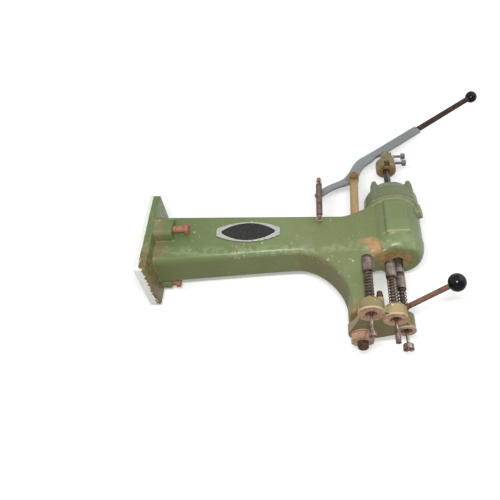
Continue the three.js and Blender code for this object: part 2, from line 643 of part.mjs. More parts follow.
piece(motor, 'rotor_shaft', rotorShaft(), 'steel');
piece(motor, 'drive_key', box(
  [QUILL.lower - KEY.depth + GAP, QUILL.lower + KEY.out],
  [-KEY.width / 2, KEY.width / 2],
  [KEY.z, KEY.z + KEY.length],
), 'steel');
piece(motor, 'rotor_core', ring(
  ROTOR.shaft + GAP, ROTOR.radius, 0, STATOR.height, SIDES.large,
), 'laminations');

function coolingFan() {
  const bottom = STATOR.height + STATOR.coilHeight + 2 * RUN + ROTOR.fanHeight;
  const top = bottom + ROTOR.fanHeight;
  const blades = Array.from({ length: ROTOR.blades }, (_, i) => (
    box([ROTOR.hub - ROTOR.blade, ROTOR.fanRadius], [0, ROTOR.blade], [bottom + ROTOR.blade / 2, top])
      .rotateZ((2 * Math.PI * i) / ROTOR.blades)
  ));
  const hub = ring(ROTOR.shaft + GAP, ROTOR.hub, bottom, top, SIDES.large);
  const plate = ring(ROTOR.hub - ROTOR.blade, ROTOR.fanRadius, bottom, bottom + ROTOR.blade);
  return join(hub, plate, ...blades);
}

piece(motor, 'cooling_fan', coolingFan(), 'steel');

// The quill: thick and keyed where it slides in the rotor, then thin up to the shoulder that the
// yoke's bearing stands on, with a spigot for the dog at its lower end
function quillShape() {
  const shaft = turned([
    [0, -QUILL.bottom - QUILL.spigotLength], [QUILL.spigot, -QUILL.bottom - QUILL.spigotLength],
    [QUILL.spigot, -QUILL.bottom], [QUILL.lower, -QUILL.bottom], [QUILL.lower, QUILL.stepZ],
    [QUILL.upper, QUILL.stepZ], [QUILL.upper, collarLow], [COLLAR.radius, collarLow],
    [COLLAR.radius, collarLow + COLLAR.height], [QUILL.upper, collarLow + COLLAR.height],
    [QUILL.upper, collarHigh + COLLAR.height], [0, collarHigh + COLLAR.height],
  ], SIDES.large);
  const groove = box(
    [QUILL.lower - KEY.depth, QUILL.lower + OVER], keySlot, [KEY.z - STROKE / 2, QUILL.stepZ + OVER],
  );
  return cut(shaft, groove);
}

piece(motor, 'quill', quillShape(), 'steel');

// The dog pinned on the quill's end: its tongue drops into the slot of the tool spindle's head
function driveDog() {
  const top = -QUILL.bottom - GAP;
  const body = join(
    disc(QUILL.lower, -DOG.bottom, top),
    box(
      [-QUILL.lower + DOG.tongueWidth / 2, QUILL.lower - DOG.tongueWidth / 2],
      [-DOG.tongueWidth / 2, DOG.tongueWidth / 2],
      [-DOG.bottom - DOG.tongue, -DOG.bottom + GAP],
    ),
  );
  return cut(body, disc(QUILL.spigot + GAP, -QUILL.bottom - QUILL.spigotLength - GAP, top + OVER));
}

piece(motor, 'drive_dog', driveDog(), 'steel');

// The bearing that the yoke presses on, held between the quill's shoulder and a collar
piece(motor, 'quill_collar', ring(
  QUILL.upper + GAP, COLLAR.radius, collarHigh, collarHigh + COLLAR.height,
), 'steel');
piece(motor, 'thrust_bearing', ring(
  THRUST.inner, YOKE.chamber - GAP, thrustLow, thrustLow + THRUST.height,
), 'steel');
piece(motor, 'yoke_cover', ring(
  QUILL.upper + 2 * RUN, YOKE.chamber - GAP, YOKE.bottom, YOKE.bottom + YOKE.plate,
), 'rust');

// The yoke: a round body with a fork that carries the roller under the lever
function yokeShape() {
  const top = YOKE.bottom + YOKE.height;
  const ears = [-1, 1].flatMap((side) => {
    const y = side * (slotHalf + EAR.thickness / 2);
    const across = [y - EAR.thickness / 2, y + EAR.thickness / 2];
    return [
      box([-EAR.width / 2, EAR.width / 2], across, [top - OVER, rollerZ]),
      backwards(disc(EAR.width / 2, -EAR.thickness / 2, EAR.thickness / 2)).translate(0, y, rollerZ),
    ];
  });
  const shoulder = (length, height) => box(
    [EAR.width / 2 - RUN, SHOULDER.start + length], pair(0, SHOULDER.width / 2), [top - OVER, top + height],
  );
  const slot = box(
    [-YOKE.radius - OVER, SHOULDER.start], [-slotHalf, slotHalf], [slotFloor, rollerZ + YOKE.height],
  );
  const notch = box(
    pair(0, NOTCH.width / 2),
    [-YOKE.radius - OVER, -YOKE.chamber / 2],
    [YOKE.bottom - OVER, YOKE.bottom + NOTCH.height],
  );
  const screwHoles = yokeScrews.map(({ z }) => (
    alongX(disc(YOKE_SCREW.radius + GAP, yokeScrewTip - OVER / 2, YOKE.radius + OVER, SIDES.small))
      .translate(0, 0, z)
  ));
  return cut(
    join(
      disc(YOKE.radius, YOKE.bottom, top, SIDES.large),
      ...ears,
      shoulder(SHOULDER.length, SHOULDER.height),
      shoulder(SHOULDER.stepLength, SHOULDER.stepHeight),
    ),
    slot,
    notch,
    disc(YOKE.chamber, YOKE.bottom - OVER, collarHigh + COLLAR.height + YOKE.clear, SIDES.large),
    backwards(disc(ROLLER.pin + GAP, -YOKE.radius, YOKE.radius)).translate(0, 0, rollerZ),
    ...screwHoles,
  );
}

piece(motor, 'yoke', yokeShape(), 'green');
yokeScrews.forEach(({ name, z }) => {
  const shape = bolt({ ...YOKE_SCREW, length: YOKE_SCREW.seat - yokeScrewTip }, 4).rotateX(Math.PI);
  piece(motor, name, alongX(shape).translate(YOKE_SCREW.seat, 0, z), 'steel');
});
const pinHalf = slotHalf + EAR.thickness + RUN;
piece(motor, 'roller_pin', backwards(disc(ROLLER.pin, -pinHalf, pinHalf)).translate(0, 0, rollerZ), 'steel');
piece(motor, 'roller', backwards(ring(
  ROLLER.pin + GAP, ROLLER.radius, -ROLLER.width / 2, ROLLER.width / 2,
)).translate(0, 0, rollerZ), 'steel');

// The post that carries the lever, with its foot on the arm's pad and its screws
function leverPost() {
  const back = -slotHalf;
  const front = back - POST.thickness;
  const footBottom = POST_PAD.top + GAP;
  const bar = box([-POST.width / 2, POST.width / 2], [front, back], [footBottom, LEVER.height]);
  const crown = backwards(disc(POST.width / 2, front, back)).translate(0, 0, LEVER.height);
  const foot = box(
    [-POST.footWidth / 2, POST.footWidth / 2],
    [front, front + POST.footDepth],
    [footBottom, footBottom + POST.foot],
  );
  const holes = postScrewPlaces.map(([x, y]) => (
    disc(POST_SCREW.radius + GAP, POST_PAD.top - OVER, POST_PAD.top + POST.foot + OVER, SIDES.small)
      .translate(x, y, 0)
  ));
  const pivot = backwards(disc(PIVOT.bolt + GAP, front - OVER, back + OVER)).translate(0, 0, LEVER.height);
  return cut(join(bar, crown, foot), ...holes, pivot).translate(leverX, 0, 0);
}

piece(machine, 'lever_post', leverPost(), 'rust');
postScrewPlaces.forEach(([x, y], i) => {
  const seat = POST_PAD.top + POST.foot + 2 * GAP;
  const shape = bolt(POST_SCREW).rotateX(Math.PI).translate(leverX + x, y, seat);
  piece(machine, `post_screw_${i + 1}`, shape, 'steel');
});

// The pivot bolt goes in from the front, through the post and the lever's eye, to its nut
const boltSeat = -slotHalf - POST.thickness - GAP;
const nutSeat = slotHalf;
piece(lever, 'pivot_bolt', backwards(bolt({
  radius: PIVOT.bolt, across: PIVOT.across, head: PIVOT.head, length: nutSeat + PIVOT.nut + GAP - boltSeat,
})).translate(0, boltSeat, 0), 'rust');
piece(lever, 'pivot_nut', backwards(cut(
  head(PIVOT.across, nutSeat, nutSeat + PIVOT.nut),
  disc(PIVOT.bolt + GAP, nutSeat - OVER, nutSeat + PIVOT.nut + OVER),
)), 'rust');

// The line that the lever's middle follows, from its tail past the pivot to the bar's end
function onBar(share) {
  const run = BAR.length * share;
  return [KNEE.x + run * Math.cos(BAR.angle), KNEE.z + run * Math.sin(BAR.angle)];
}

const barEnd = onBar(1);
function leverOutline() {
  const line = [
    ...TAIL_SHARES.map(([x, z, wide]) => [LEVER.tailX * x, LEVER.tailZ * z, LEVER.tailWidth * wide]),
    ...KNEE_SHARES.map(([x, z, wide]) => [KNEE.x * x, KNEE.z * z, KNEE.width * wide]),
    ...BAR_SHARES.map((share) => [...onBar(share), LEVER.width]),
  ];
  const curve = new THREE.CatmullRomCurve3(line.map(([x, z, wide]) => new THREE.Vector3(x, z, wide)));
  const steps = Array.from({ length: LEVER_STEPS + 1 }, (_, i) => i / LEVER_STEPS);
  const edge = (side) => steps.map((t) => {
    const { x, y, z: wide } = curve.getPoint(t);
    const along = curve.getTangent(t).setZ(0).normalize();
    return new THREE.Vector2(x - (side * along.y * wide) / 2, y + (side * along.x * wide) / 2);
  });
  return new THREE.Shape([...edge(-1), ...edge(1).reverse()]);
}

// What the roller passes through, seen from the lever, as it rolls along the lever's lower edge
function rollerTrack() {
  const start = rollerZ - LEVER.height;
  const centres = Array.from({ length: TRACK_STEPS + 1 }, (_, i) => {
    const centre = new THREE.Vector2(ROLLER.arm, start - (STROKE * i) / TRACK_STEPS);
    return centre.rotateAround(new THREE.Vector2(), (SWING * i) / TRACK_STEPS);
  });
  const circles = centres.map(({ x, y }) => [x, y, ROLLER.radius + GAP]);
  return sideways(hull(circles, SIDES.large), LEVER.thickness + OVER, 0);
}

function leverBar() {
  const away = new THREE.Vector3(Math.cos(BAR.angle), 0, Math.sin(BAR.angle));
  const socket = aim(disc(ROD.spigot + GAP, -ROD.spigotLength - GAP, OVER, SIDES.small), away)
    .translate(barEnd[0], 0, barEnd[1]);
  const through = (radius) => backwards(disc(radius, -LEVER.thickness, LEVER.thickness));
  const eye = backwards(disc(LEVER.eye, -LEVER.thickness / 2, LEVER.thickness / 2, SIDES.large));
  return cut(
    join(sideways(leverOutline(), LEVER.thickness, 0), eye),
    through(PIVOT.bolt + GAP),
    through(RETURN.pin + GAP).translate(tailPin.x, 0, tailPin.z),
    socket,
    rollerTrack(),
  );
}

piece(lever, 'lever_bar', leverBar(), 'leverPaint');

// A rod with a thinner end that screws into what holds it, and a ball knob on its other end
function handleRod({ radius, spigot, spigotLength, length }) {
  return turned([
    [0, -spigotLength], [spigot, -spigotLength], [spigot, GAP], [radius, GAP], [radius, length], [0, length],
  ], SIDES.small);
}

function ballKnob({ radius, grip, flat }, rodRadius) {
  const low = radius - flat;
  const start = Math.asin(low / radius);
  const arc = Array.from({ length: BALL_STEPS }, (_, i) => {
    const turn = ((start + Math.PI / 2) * i) / BALL_STEPS - start;
    return [radius * Math.cos(turn), radius * Math.sin(turn)];
  });
  const hole = rodRadius + GAP;
  return turned([[0, grip - low], [hole, grip - low], [hole, -low], ...arc, [0, radius]], SIDES.medium);
}

const handle = groupAt(lever, barEnd[0], 0, barEnd[1]);
handle.rotation.y = Math.PI / 2 - BAR.angle;
piece(handle, 'lever_rod', handleRod(ROD), 'bareIron');
piece(handle, 'lever_ball', ballKnob(BALL, ROD.radius)
  .translate(0, 0, ROD.length + GAP + BALL.radius - BALL.flat - BALL.grip), 'knob');

// The pins that the return spring hooks on: one through the lever's tail, one in the arm's front
function hookPin(back, front) {
  return forwards(turned([
    [0, -back], [RETURN.pin, -back], [RETURN.pin, front], [STUD.head, front],
    [STUD.head, front + STUD.headHeight], [0, front + STUD.headHeight],
  ], SIDES.small));
}

piece(lever, 'tail_pin', hookPin(LEVER.thickness / 2 + RUN, STUD.reach - armFront)
  .translate(tailPin.x, 0, tailPin.z), 'steel');
piece(machine, 'spring_stud', hookPin(STUD.depth, STUD.reach)
  .translate(returnX, armFront, RETURN.low), 'rust');

// The return spring: close curls between two hooks that pass over the pins
function returnSpring() {
  const bend = RETURN.pin + GAP - RETURN.coil + RETURN.wire / 2;
  const low = -bend;
  const high = LEVER.height + tailPin.z - RETURN.low + bend;
  const hook = (z, side) => Array.from({ length: SPRING_STEPS - 1 }, (_, i) => {
    const turn = (Math.PI * i) / (SPRING_STEPS - 2);
    return new THREE.Vector3(RETURN.coil * Math.cos(turn), 0, z + side * RETURN.coil * Math.sin(turn));
  });
  const start = low + RETURN.straight;
  const rise = high - RETURN.straight - start;
  const count = RETURN_TURNS * SPRING_STEPS;
  const curls = Array.from({ length: count + 1 }, (_, i) => {
    const turn = Math.PI + (2 * Math.PI * i) / SPRING_STEPS;
    return new THREE.Vector3(
      RETURN.coil * Math.cos(turn), RETURN.coil * Math.sin(turn), start + (rise * i) / count,
    );
  });
  const points = [
    new THREE.Vector3(RETURN.coil, 0, low + RETURN.tail),
    ...hook(low, -1),
    new THREE.Vector3(-RETURN.coil, 0, start - RETURN.wire),
    ...curls,
    new THREE.Vector3(RETURN.coil, 0, high - RETURN.straight + RETURN.wire),
    ...hook(high, 1),
    new THREE.Vector3(-RETURN.coil, 0, high - RETURN.tail),
  ];
  printGap('return_spring', points, RETURN.wire);
  return wireTube(points, RETURN.wire / 2).translate(returnX, -RETURN.y, RETURN.low);
}

piece(machine, 'return_spring', returnSpring(), 'springSteel');

// The turret turns on a stud in the leg's foot, and a nut and washer hold it up
const washerTop = -HUB.bottom - GAP;
const nutTop = washerTop - STUD_NUT.washerHeight - GAP;
piece(turret, 'turret_stud', turned([
  [0, -PIVOT_STUD.bottom], [PIVOT_STUD.radius - STUD_NUT.chamfer, -PIVOT_STUD.bottom],
  [PIVOT_STUD.radius, STUD_NUT.chamfer - PIVOT_STUD.bottom], [PIVOT_STUD.radius, -PIVOT_STUD.top],
  [0, -PIVOT_STUD.top],
]), 'rust');
piece(turret, 'turret_washer', ring(
  PIVOT_STUD.radius + GAP, STUD_NUT.washer, washerTop - STUD_NUT.washerHeight, washerTop,
), 'rust');

function turretNut() {
  const corner = STUD_NUT.across / 2 / Math.cos(Math.PI / 6);
  const bottom = nutTop - STUD_NUT.height;
  const rim = STUD_NUT.across / 2;
  const cone = turned([
    [0, bottom], [rim, bottom], [corner + GAP, bottom + STUD_NUT.chamfer],
    [corner + GAP, nutTop - STUD_NUT.chamfer], [rim, nutTop], [0, nutTop],
  ], SIDES.large);
  const hexagon = head(STUD_NUT.across, bottom - OVER, nutTop + OVER);
  const blank = toGeometry(toSolid(hexagon).intersect(toSolid(cone)));
  return cut(blank, disc(PIVOT_STUD.radius + GAP, bottom - OVER, nutTop + OVER));
}

piece(turret, 'turret_nut', turretNut(), 'rust');

const hubTop = -LEG.bottom - GAP;
const toolTurn = (i) => TURRET.first - TURRET.step * (tools.length - 1 - i);
const place = (radius, turn) => [radius * Math.cos(turn), radius * Math.sin(turn)];
const oilerPlace = place(OILER.circle, (toolTurn(0) + toolTurn(1)) / 2);
const gripTurn = (toolTurn(1) + toolTurn(2)) / 2;
const gripAlong = new THREE.Vector3(
  Math.cos(gripTurn) * Math.cos(GRIP.rise), Math.sin(gripTurn) * Math.cos(GRIP.rise), Math.sin(GRIP.rise),
);

// Something round about the handle's axis, given by its distance out from the turret's axis
function onGrip(shape, from) {
  const z = (from - GRIP.baseAt) * Math.tan(GRIP.rise) - GRIP.base;
  return aim(shape, gripAlong).translate(...place(from, gripTurn), z);
}

const gripLength = (from, to) => (to - from) / Math.cos(GRIP.rise);

function turretCasting() {
  const bosses = tools.map(({ bossRadius, bossHeight }, i) => {
    const top = bossHeight - BOSS.bottom;
    return turned([
      [0, -BOSS.bottom], [bossRadius, -BOSS.bottom], [bossRadius, top - BOSS.round],
      [bossRadius - BOSS.round, top], [0, top],
    ], SIDES.large).translate(...place(TURRET.circle, toolTurn(i)), 0);
  });
  const tips = tools.map((_, i) => [...place(TURRET.circle, toolTurn(i)), FAN.rim]);
  const fan = slab(hull([[0, 0, HUB.radius - GAP], ...tips]), -HUB.bottom, FAN.thickness - HUB.bottom);
  const hub = disc(HUB.radius, -HUB.bottom, hubTop, SIDES.large);
  const post = disc(OILER.post, -HUB.bottom + GAP, -OILER.postTop, SIDES.small).translate(...oilerPlace, 0);
  const gripBossLength = gripLength(GRIP_BOSS.from, GRIP_BOSS.to);
  const gripBoss = onGrip(disc(GRIP_BOSS.radius, 0, gripBossLength), GRIP_BOSS.from);
  const bores = tools.flatMap(({ bossHeight }, i) => [
    disc(SPINDLE.radius + GAP, -BOSS.bottom - OVER, bossHeight - BOSS.bottom + OVER),
    disc(BOSS.recess, -BOSS.bottom - OVER, BOSS.recessDepth - BOSS.bottom),
  ].map((bore) => bore.translate(...place(TURRET.circle, toolTurn(i)), 0)));
  return cut(
    join(fan, hub, ...bosses, post, gripBoss),
    disc(HUB.bush + GAP, -HUB.bottom - OVER, hubTop + OVER),
    ...bores,
    disc(
      OILER_STEM.radius + GAP, -OILER.postTop - OILER_STEM.length - GAP, OVER - OILER.postTop, SIDES.small,
    ).translate(...oilerPlace, 0),
    onGrip(disc(GRIP.radius + GAP, 0, gripLength(GRIP.from, GRIP_BOSS.to) + OVER, SIDES.small), GRIP.from),
  );
}

piece(turret, 'turret_casting', turretCasting(), 'green');
piece(turret, 'turret_bush', ring(PIVOT_STUD.radius + GAP, HUB.bush, -HUB.bottom, hubTop), 'bronze');
piece(turret, 'oil_cup', turned([
  [0, -OILER.postTop - OILER_STEM.length], [OILER_STEM.radius, -OILER.postTop - OILER_STEM.length],
  [OILER_STEM.radius, GAP - OILER.postTop], [OILER.radius, GAP - OILER.postTop],
  [OILER.radius, OILER.height * OILER_WAIST_SHARE - OILER.postTop],
  [OILER.neck, OILER.height * OILER_WAIST_SHARE - OILER.postTop],
  [OILER.neck, OILER.height - OILER.postTop], [0, OILER.height - OILER.postTop],
], SIDES.small).translate(...oilerPlace, 0), 'bareIron');

// The handle that turns the turret
const gripInBall = GRIP_BALL.radius - GRIP_BALL.flat - GRIP_BALL.grip;
const gripRod = disc(GRIP.radius, GAP, gripLength(GRIP.from, GRIP.to) - gripInBall - GAP, SIDES.small);
piece(turret, 'turret_rod', onGrip(gripRod, GRIP.from), 'bareIron');
piece(turret, 'turret_ball', onGrip(ballKnob(GRIP_BALL, GRIP.radius), GRIP.to), 'knob');

// A spring round a tool spindle, from its boss up into its cup
function toolSpring(name, low, high, turns) {
  const wire = TOOL_SPRING.wire;
  const count = turns * SPRING_STEPS;
  const flat = SPRING_STEPS / 4;
  const bottom = low + GAP + wire / 2;
  const rise = high - GAP - wire / 2 - bottom;
  const curls = Array.from({ length: count + 1 }, (_, i) => {
    const turn = (2 * Math.PI * i) / SPRING_STEPS;
    const share = THREE.MathUtils.clamp((i - flat) / (count - 2 * flat), 0, 1);
    return new THREE.Vector3(
      TOOL_SPRING.coil * Math.cos(turn), TOOL_SPRING.coil * Math.sin(turn), bottom + rise * share,
    );
  });
  const straight = (i, along) => curls[i].clone().add(new THREE.Vector3(0, along * wire, 0));
  const points = [straight(0, -1), ...curls, straight(count, 1)];
  printGap(name, points, wire);
  return wireTube(points, wire / 2);
}

// A spindle: a slotted head for the dog, a plain shaft, and a socket for the bit's shank
function toolSpindle() {
  const shaft = turned([
    [0, -SPINDLE.bottom], [SPINDLE.radius, -SPINDLE.bottom],
    [SPINDLE.radius, -SPINDLE.top - SPINDLE.headHeight], [SPINDLE.head, -SPINDLE.top - SPINDLE.headHeight],
    [SPINDLE.head, -SPINDLE.top], [0, -SPINDLE.top],
  ]);
  const slot = box(
    [-SPINDLE.head - OVER, SPINDLE.head + OVER],
    [-SPINDLE.slotWidth / 2, SPINDLE.slotWidth / 2],
    [-SPINDLE.top - SPINDLE.slot, OVER - SPINDLE.top],
  );
  const socket = disc(BIT.shank + GAP, -SPINDLE.bottom - OVER, BIT.hold - SPINDLE.bottom + GAP, SIDES.small);
  return cut(shaft, slot, socket);
}

// A bit for boring knots out: a centre spur, a cutting rim and two gashes for the chips
function knotBit({ bitRadius, bitHeight, reach }) {
  const tip = -BOSS.bottom - reach;
  const dish = tip + BIT.spur + BIT.dish;
  const blank = turned([
    [0, tip], [BIT.core, dish], [bitRadius - BIT.rim, dish], [bitRadius - BIT.rim / 2, tip + BIT.spur],
    [bitRadius, tip + BIT.spur], [bitRadius, tip + BIT.spur + bitHeight],
    [BIT.shank, tip + BIT.spur + bitHeight + BIT.rim], [BIT.shank, BIT.hold - SPINDLE.bottom],
    [0, BIT.hold - SPINDLE.bottom],
  ]);
  const gashes = [0, Math.PI].map((turn) => (
    box([BIT.core, bitRadius + OVER], [0, BIT.gash], [tip - OVER, tip + BIT.spur + bitHeight - BIT.rim])
      .rotateZ(turn)
  ));
  return cut(blank, ...gashes);
}

tools.forEach((tool, i) => {
  const group = groupAt(turret, ...place(TURRET.circle, toolTurn(i)));
  const bossTop = tool.bossHeight - BOSS.bottom;
  const cupTop = -SPINDLE.top - SPINDLE.headHeight - GAP;
  const cupRoof = cupTop - CUP.plate;
  piece(group, `tool_spring_${tool.key}`, toolSpring(
    `tool_spring_${tool.key}`, bossTop, cupRoof, tool.turns,
  ), 'springSteel');
  piece(group, `spring_cup_${tool.key}`, turned([
    [SPINDLE.radius + GAP, cupTop], [SPINDLE.radius + GAP, cupRoof], [CUP.bore, cupRoof],
    [CUP.bore, cupTop - CUP.length], [CUP.radius, cupTop - CUP.length], [CUP.radius, cupTop],
    [SPINDLE.radius + GAP, cupTop],
  ]), 'steel');
  piece(group, `tool_spindle_${tool.key}`, toolSpindle(), 'steel');
  piece(group, `knot_bit_${tool.key}`, knotBit(tool), 'brightSteel');
});

export default machine;
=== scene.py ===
"""Knothole drilling machine: fine shapes, materials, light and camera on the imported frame.

Sizes are in millimetres, in the frame's own axes: X out along the arm, Z up, and -Y towards the
operator. new_object() brings them to metres.
"""

import json
from math import asin, copysign, cos, pi, radians, sin, tan

import bmesh
import bpy
from mathutils import Matrix, Vector


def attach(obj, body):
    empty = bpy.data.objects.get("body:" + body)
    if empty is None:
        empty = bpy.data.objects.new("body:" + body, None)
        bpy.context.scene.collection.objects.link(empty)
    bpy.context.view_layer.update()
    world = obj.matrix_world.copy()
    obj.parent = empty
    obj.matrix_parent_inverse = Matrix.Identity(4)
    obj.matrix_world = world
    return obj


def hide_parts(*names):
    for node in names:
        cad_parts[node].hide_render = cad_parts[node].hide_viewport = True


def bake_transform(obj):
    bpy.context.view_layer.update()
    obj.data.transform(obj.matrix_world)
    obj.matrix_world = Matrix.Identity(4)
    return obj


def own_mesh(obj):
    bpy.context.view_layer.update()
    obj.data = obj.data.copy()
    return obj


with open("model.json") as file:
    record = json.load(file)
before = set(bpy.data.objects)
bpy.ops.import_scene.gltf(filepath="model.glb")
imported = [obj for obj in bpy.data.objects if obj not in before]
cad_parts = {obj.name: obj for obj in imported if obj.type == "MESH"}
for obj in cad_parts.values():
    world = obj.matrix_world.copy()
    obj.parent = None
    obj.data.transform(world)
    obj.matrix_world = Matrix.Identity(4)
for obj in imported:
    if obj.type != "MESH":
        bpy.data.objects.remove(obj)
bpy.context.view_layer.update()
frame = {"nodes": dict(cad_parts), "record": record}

# Directions, places and sizes that follow the frame
UP, FRONT, BACK, OUT = Vector((0, 0, 1)), (0, -1, 0), (0, 1, 0), (1, 0, 0)
THROAT = 500.0
ARM_HALF = 37.5
GAP = 0.3
STROKE = 50
TINY = 1e-4
LEVER_SWING = radians(30)
SHARP = radians(32)
TURRET_CIRCLE = 80.0
TOOL_TURNS = {"a": radians(-82), "b": radians(-46), "c": radians(-10)}
MOTOR = Vector((THROAT, 0, 0))
TURRET = MOTOR - TURRET_CIRCLE * Vector((cos(TOOL_TURNS["c"]), sin(TOOL_TURNS["c"]), 0))
PIVOT = Vector((425, 0, 181.5))
BAR_ANGLE = radians(37.8)
ROLLER_Z = 251.04
BOSS_FOOT = -193.2


def around(centre, radius, turn, z=0.0):
    return Vector((centre.x + radius * cos(turn), centre.y + radius * sin(turn), z))


TOOL_PLACES = {key: around(TURRET, TURRET_CIRCLE, turn) for key, turn in TOOL_TURNS.items()}
GRIP_TURN = radians(-28)
GRIP_RISE = radians(12.8)
GRIP_ALONG = Vector((
    cos(GRIP_TURN) * cos(GRIP_RISE), sin(GRIP_TURN) * cos(GRIP_RISE), sin(GRIP_RISE),
))
OILER_PLACE = around(TURRET, 70, radians(-64))
INLET_WAY = around(Vector(), 1, radians(-25))
INLET_PLACE = MOTOR + 66 * UP
# Each boss's radius and height, and each bit's radius, height and reach
BOSSES = {"a": (23.6, 25), "b": (22.2, 25), "c": (18, 34)}
BITS = {"a": (7, 9, 44), "b": (5, 22, 46), "c": (10, 9, 38)}
SPRING_TURNS = {"a": 15, "b": 15, "c": 12}


# Shapes


class Shell:
    """One closed surface, as points and faces."""

    def __init__(self, points, faces):
        self.points = [Vector(point) for point in points]
        self.faces = faces

    def changed(self, change):
        return Shell([change(point) for point in self.points], self.faces)

    def at(self, place):
        return self.changed(lambda point: point + place)

    def moved(self, x=0.0, y=0.0, z=0.0):
        return self.at(Vector((x, y, z)))

    def aimed(self, direction):
        turn = UP.rotation_difference(Vector(direction)).to_matrix()
        return self.changed(lambda point: turn @ point)

    def spun(self, turn):
        matrix = Matrix.Rotation(turn, 3, "Z")
        return self.changed(lambda point: matrix @ point)


def span(start, end, count):
    return [start + (end - start) * i / count for i in range(count + 1)]


def rounded(points, radius, steps=4, closed=False):
    """The points with each corner replaced by a small curve."""
    points = [Vector(point) for point in points]
    out = []
    for i, here in enumerate(points):
        if not closed and i in (0, len(points) - 1):
            out.append(here)
            continue
        before, after = points[i - 1], points[(i + 1) % len(points)]
        cut = min(radius, (before - here).length * 0.45, (after - here).length * 0.45)
        if cut < TINY:
            out.append(here)
            continue
        start = here + (before - here).normalized() * cut
        end = here + (after - here).normalized() * cut
        out += [start * (1 - t) ** 2 + here * 2 * t * (1 - t) + end * t * t for t in span(0, 1, steps)]
    return out


def lathe(profile, sides=72, soft=0.0):
    """A turned shape about Z from pairs of radius and height, through the axis or as a closed ring."""
    closed = tuple(profile[0]) == tuple(profile[-1])
    profile = profile[:-1] if closed else profile
    if soft:
        profile = rounded(profile, soft, closed=closed)
    points, rows = [], []
    for radius, z in profile:
        count = 1 if radius < TINY else sides
        rows.append([len(points) + k for k in range(count)])
        wide = radius if count > 1 else 0.0
        points += [around(Vector(), wide, 2 * pi * k / sides, z) for k in range(count)]
    faces = []
    for low, high in list(zip(rows, rows[1:])) + ([(rows[-1], rows[0])] if closed else []):
        for k in range(sides):
            n = k + 1
            loop = [low[k % len(low)], low[n % len(low)], high[n % len(high)], high[k % len(high)]]
            loop = list(dict.fromkeys(loop))
            if len(loop) > 2:
                faces.append(loop)
    return Shell(points, faces)


def disc(radius, low, high, sides=72, soft=0.0):
    return lathe([(0, low), (radius, low), (radius, high), (0, high)], sides, soft)


def ring(inner, outer, low, high, sides=72, soft=0.0):
    return lathe([(inner, low), (outer, low), (outer, high), (inner, high), (inner, low)], sides, soft)


def stack(rows):
    """A closed surface through rings of points that all have the same count."""
    count = len(rows[0])
    faces = [list(range(count)), [(len(rows) - 1) * count + k for k in range(count)]]
    for i in range(len(rows) - 1):
        for k in range(count):
            a, b = i * count + k, i * count + (k + 1) % count
            faces.append([a, b, b + count, a + count])
    return Shell([point for row in rows for point in row], faces)


def prism(outline, low, high):
    return stack([[Vector((x, y, z)) for x, y in outline] for z in (low, high)])


def box(x, y, z):
    return prism([(x[0], y[0]), (x[1], y[0]), (x[1], y[1]), (x[0], y[1])], *z)


def round_rectangle(width, height, corner, steps=6):
    w, h = width / 2 - corner, height / 2 - corner
    return [
        Vector((x + corner * cos(turn), y + corner * sin(turn)))
        for x, y, first in ((w, h, 0), (-w, h, 90), (-w, -h, 180), (w, -h, 270))
        for turn in span(radians(first), radians(first + 90), steps)
    ]


def side_view(outline, half, edge=0.0, steps=5, y=0.0):
    """An outline in X and Z made solid across Y, with its two rims rounded by edge."""
    outline = [Vector(point) for point in outline]
    area = sum(a.x * b.y - b.x * a.y for a, b in zip(outline, outline[1:] + outline[:1]))
    inward = []
    for i, here in enumerate(outline):
        normals = []
        for a, b in ((outline[i - 1], here), (here, outline[(i + 1) % len(outline)])):
            along = (b - a).normalized()
            normals.append(Vector((-along.y, along.x)) * copysign(1, area))
        inward.append((normals[0] + normals[1]) / max(0.3, 1 + normals[0].dot(normals[1])))
    turns = span(0, pi / 2, steps) if edge else [0]
    rows = [(edge * (1 - cos(t)), half - edge + edge * sin(t)) for t in turns]
    rows = [(inset, -depth) for inset, depth in reversed(rows)] + rows
    return stack([
        [Vector((p.x + n.x * inset, y + depth, p.y + n.y * inset)) for p, n in zip(outline, inward)]
        for inset, depth in rows
    ])


def along_x(outline, x0, x1, y=0.0, z=0.0):
    """An outline in Y and Z made solid along X."""
    return stack([[Vector((x, y + p.x, z + p.y)) for p in outline] for x in (x0, x1)])


def curve(controls, steps):
    """A Bezier curve through any number of control points."""
    def at(t):
        row = [Vector(point) for point in controls]
        while len(row) > 1:
            row = [a.lerp(b, t) for a, b in zip(row, row[1:])]
        return row[0]
    return [at(t) for t in span(0, 1, steps)]


def hull(circles, steps=48):
    """The outline round a group of circles, each given as x, y and radius."""
    points = sorted(
        (x + r * cos(2 * pi * i / steps), y + r * sin(2 * pi * i / steps))
        for x, y, r in circles for i in range(steps)
    )

    def chain(row):
        out = []
        for p in row:
            while len(out) > 1:
                (ax, ay), (bx, by) = out[-2:]
                if (bx - ax) * (p[1] - ay) - (by - ay) * (p[0] - ax) > 0:
                    break
                out.pop()
            out.append(p)
        return out[:-1]

    return [Vector(p) for p in chain(points) + chain(points[::-1])]


def head(across, low, high, sides=6, chamfer=0.06, both=False):
    """A bolt head or nut with its corners turned off at the top, or at both ends."""
    flat, rim = across / 2, across / 2 * (1 - chamfer)
    columns = 96
    slope = tan(radians(28))
    rows = [[], [], [], []]
    for k in range(columns):
        turn = 2 * pi * k / columns
        off = (turn + pi / sides) % (2 * pi / sides) - pi / sides
        radius = flat / cos(off)
        drop = (radius - rim) * slope
        rows[0].append(around(Vector(), rim if both else radius, turn, low))
        rows[1].append(around(Vector(), radius, turn, low + (drop if both else 0.01)))
        rows[2].append(around(Vector(), radius, turn, high - drop))
        rows[3].append(around(Vector(), rim, turn, high))
    return stack(rows)


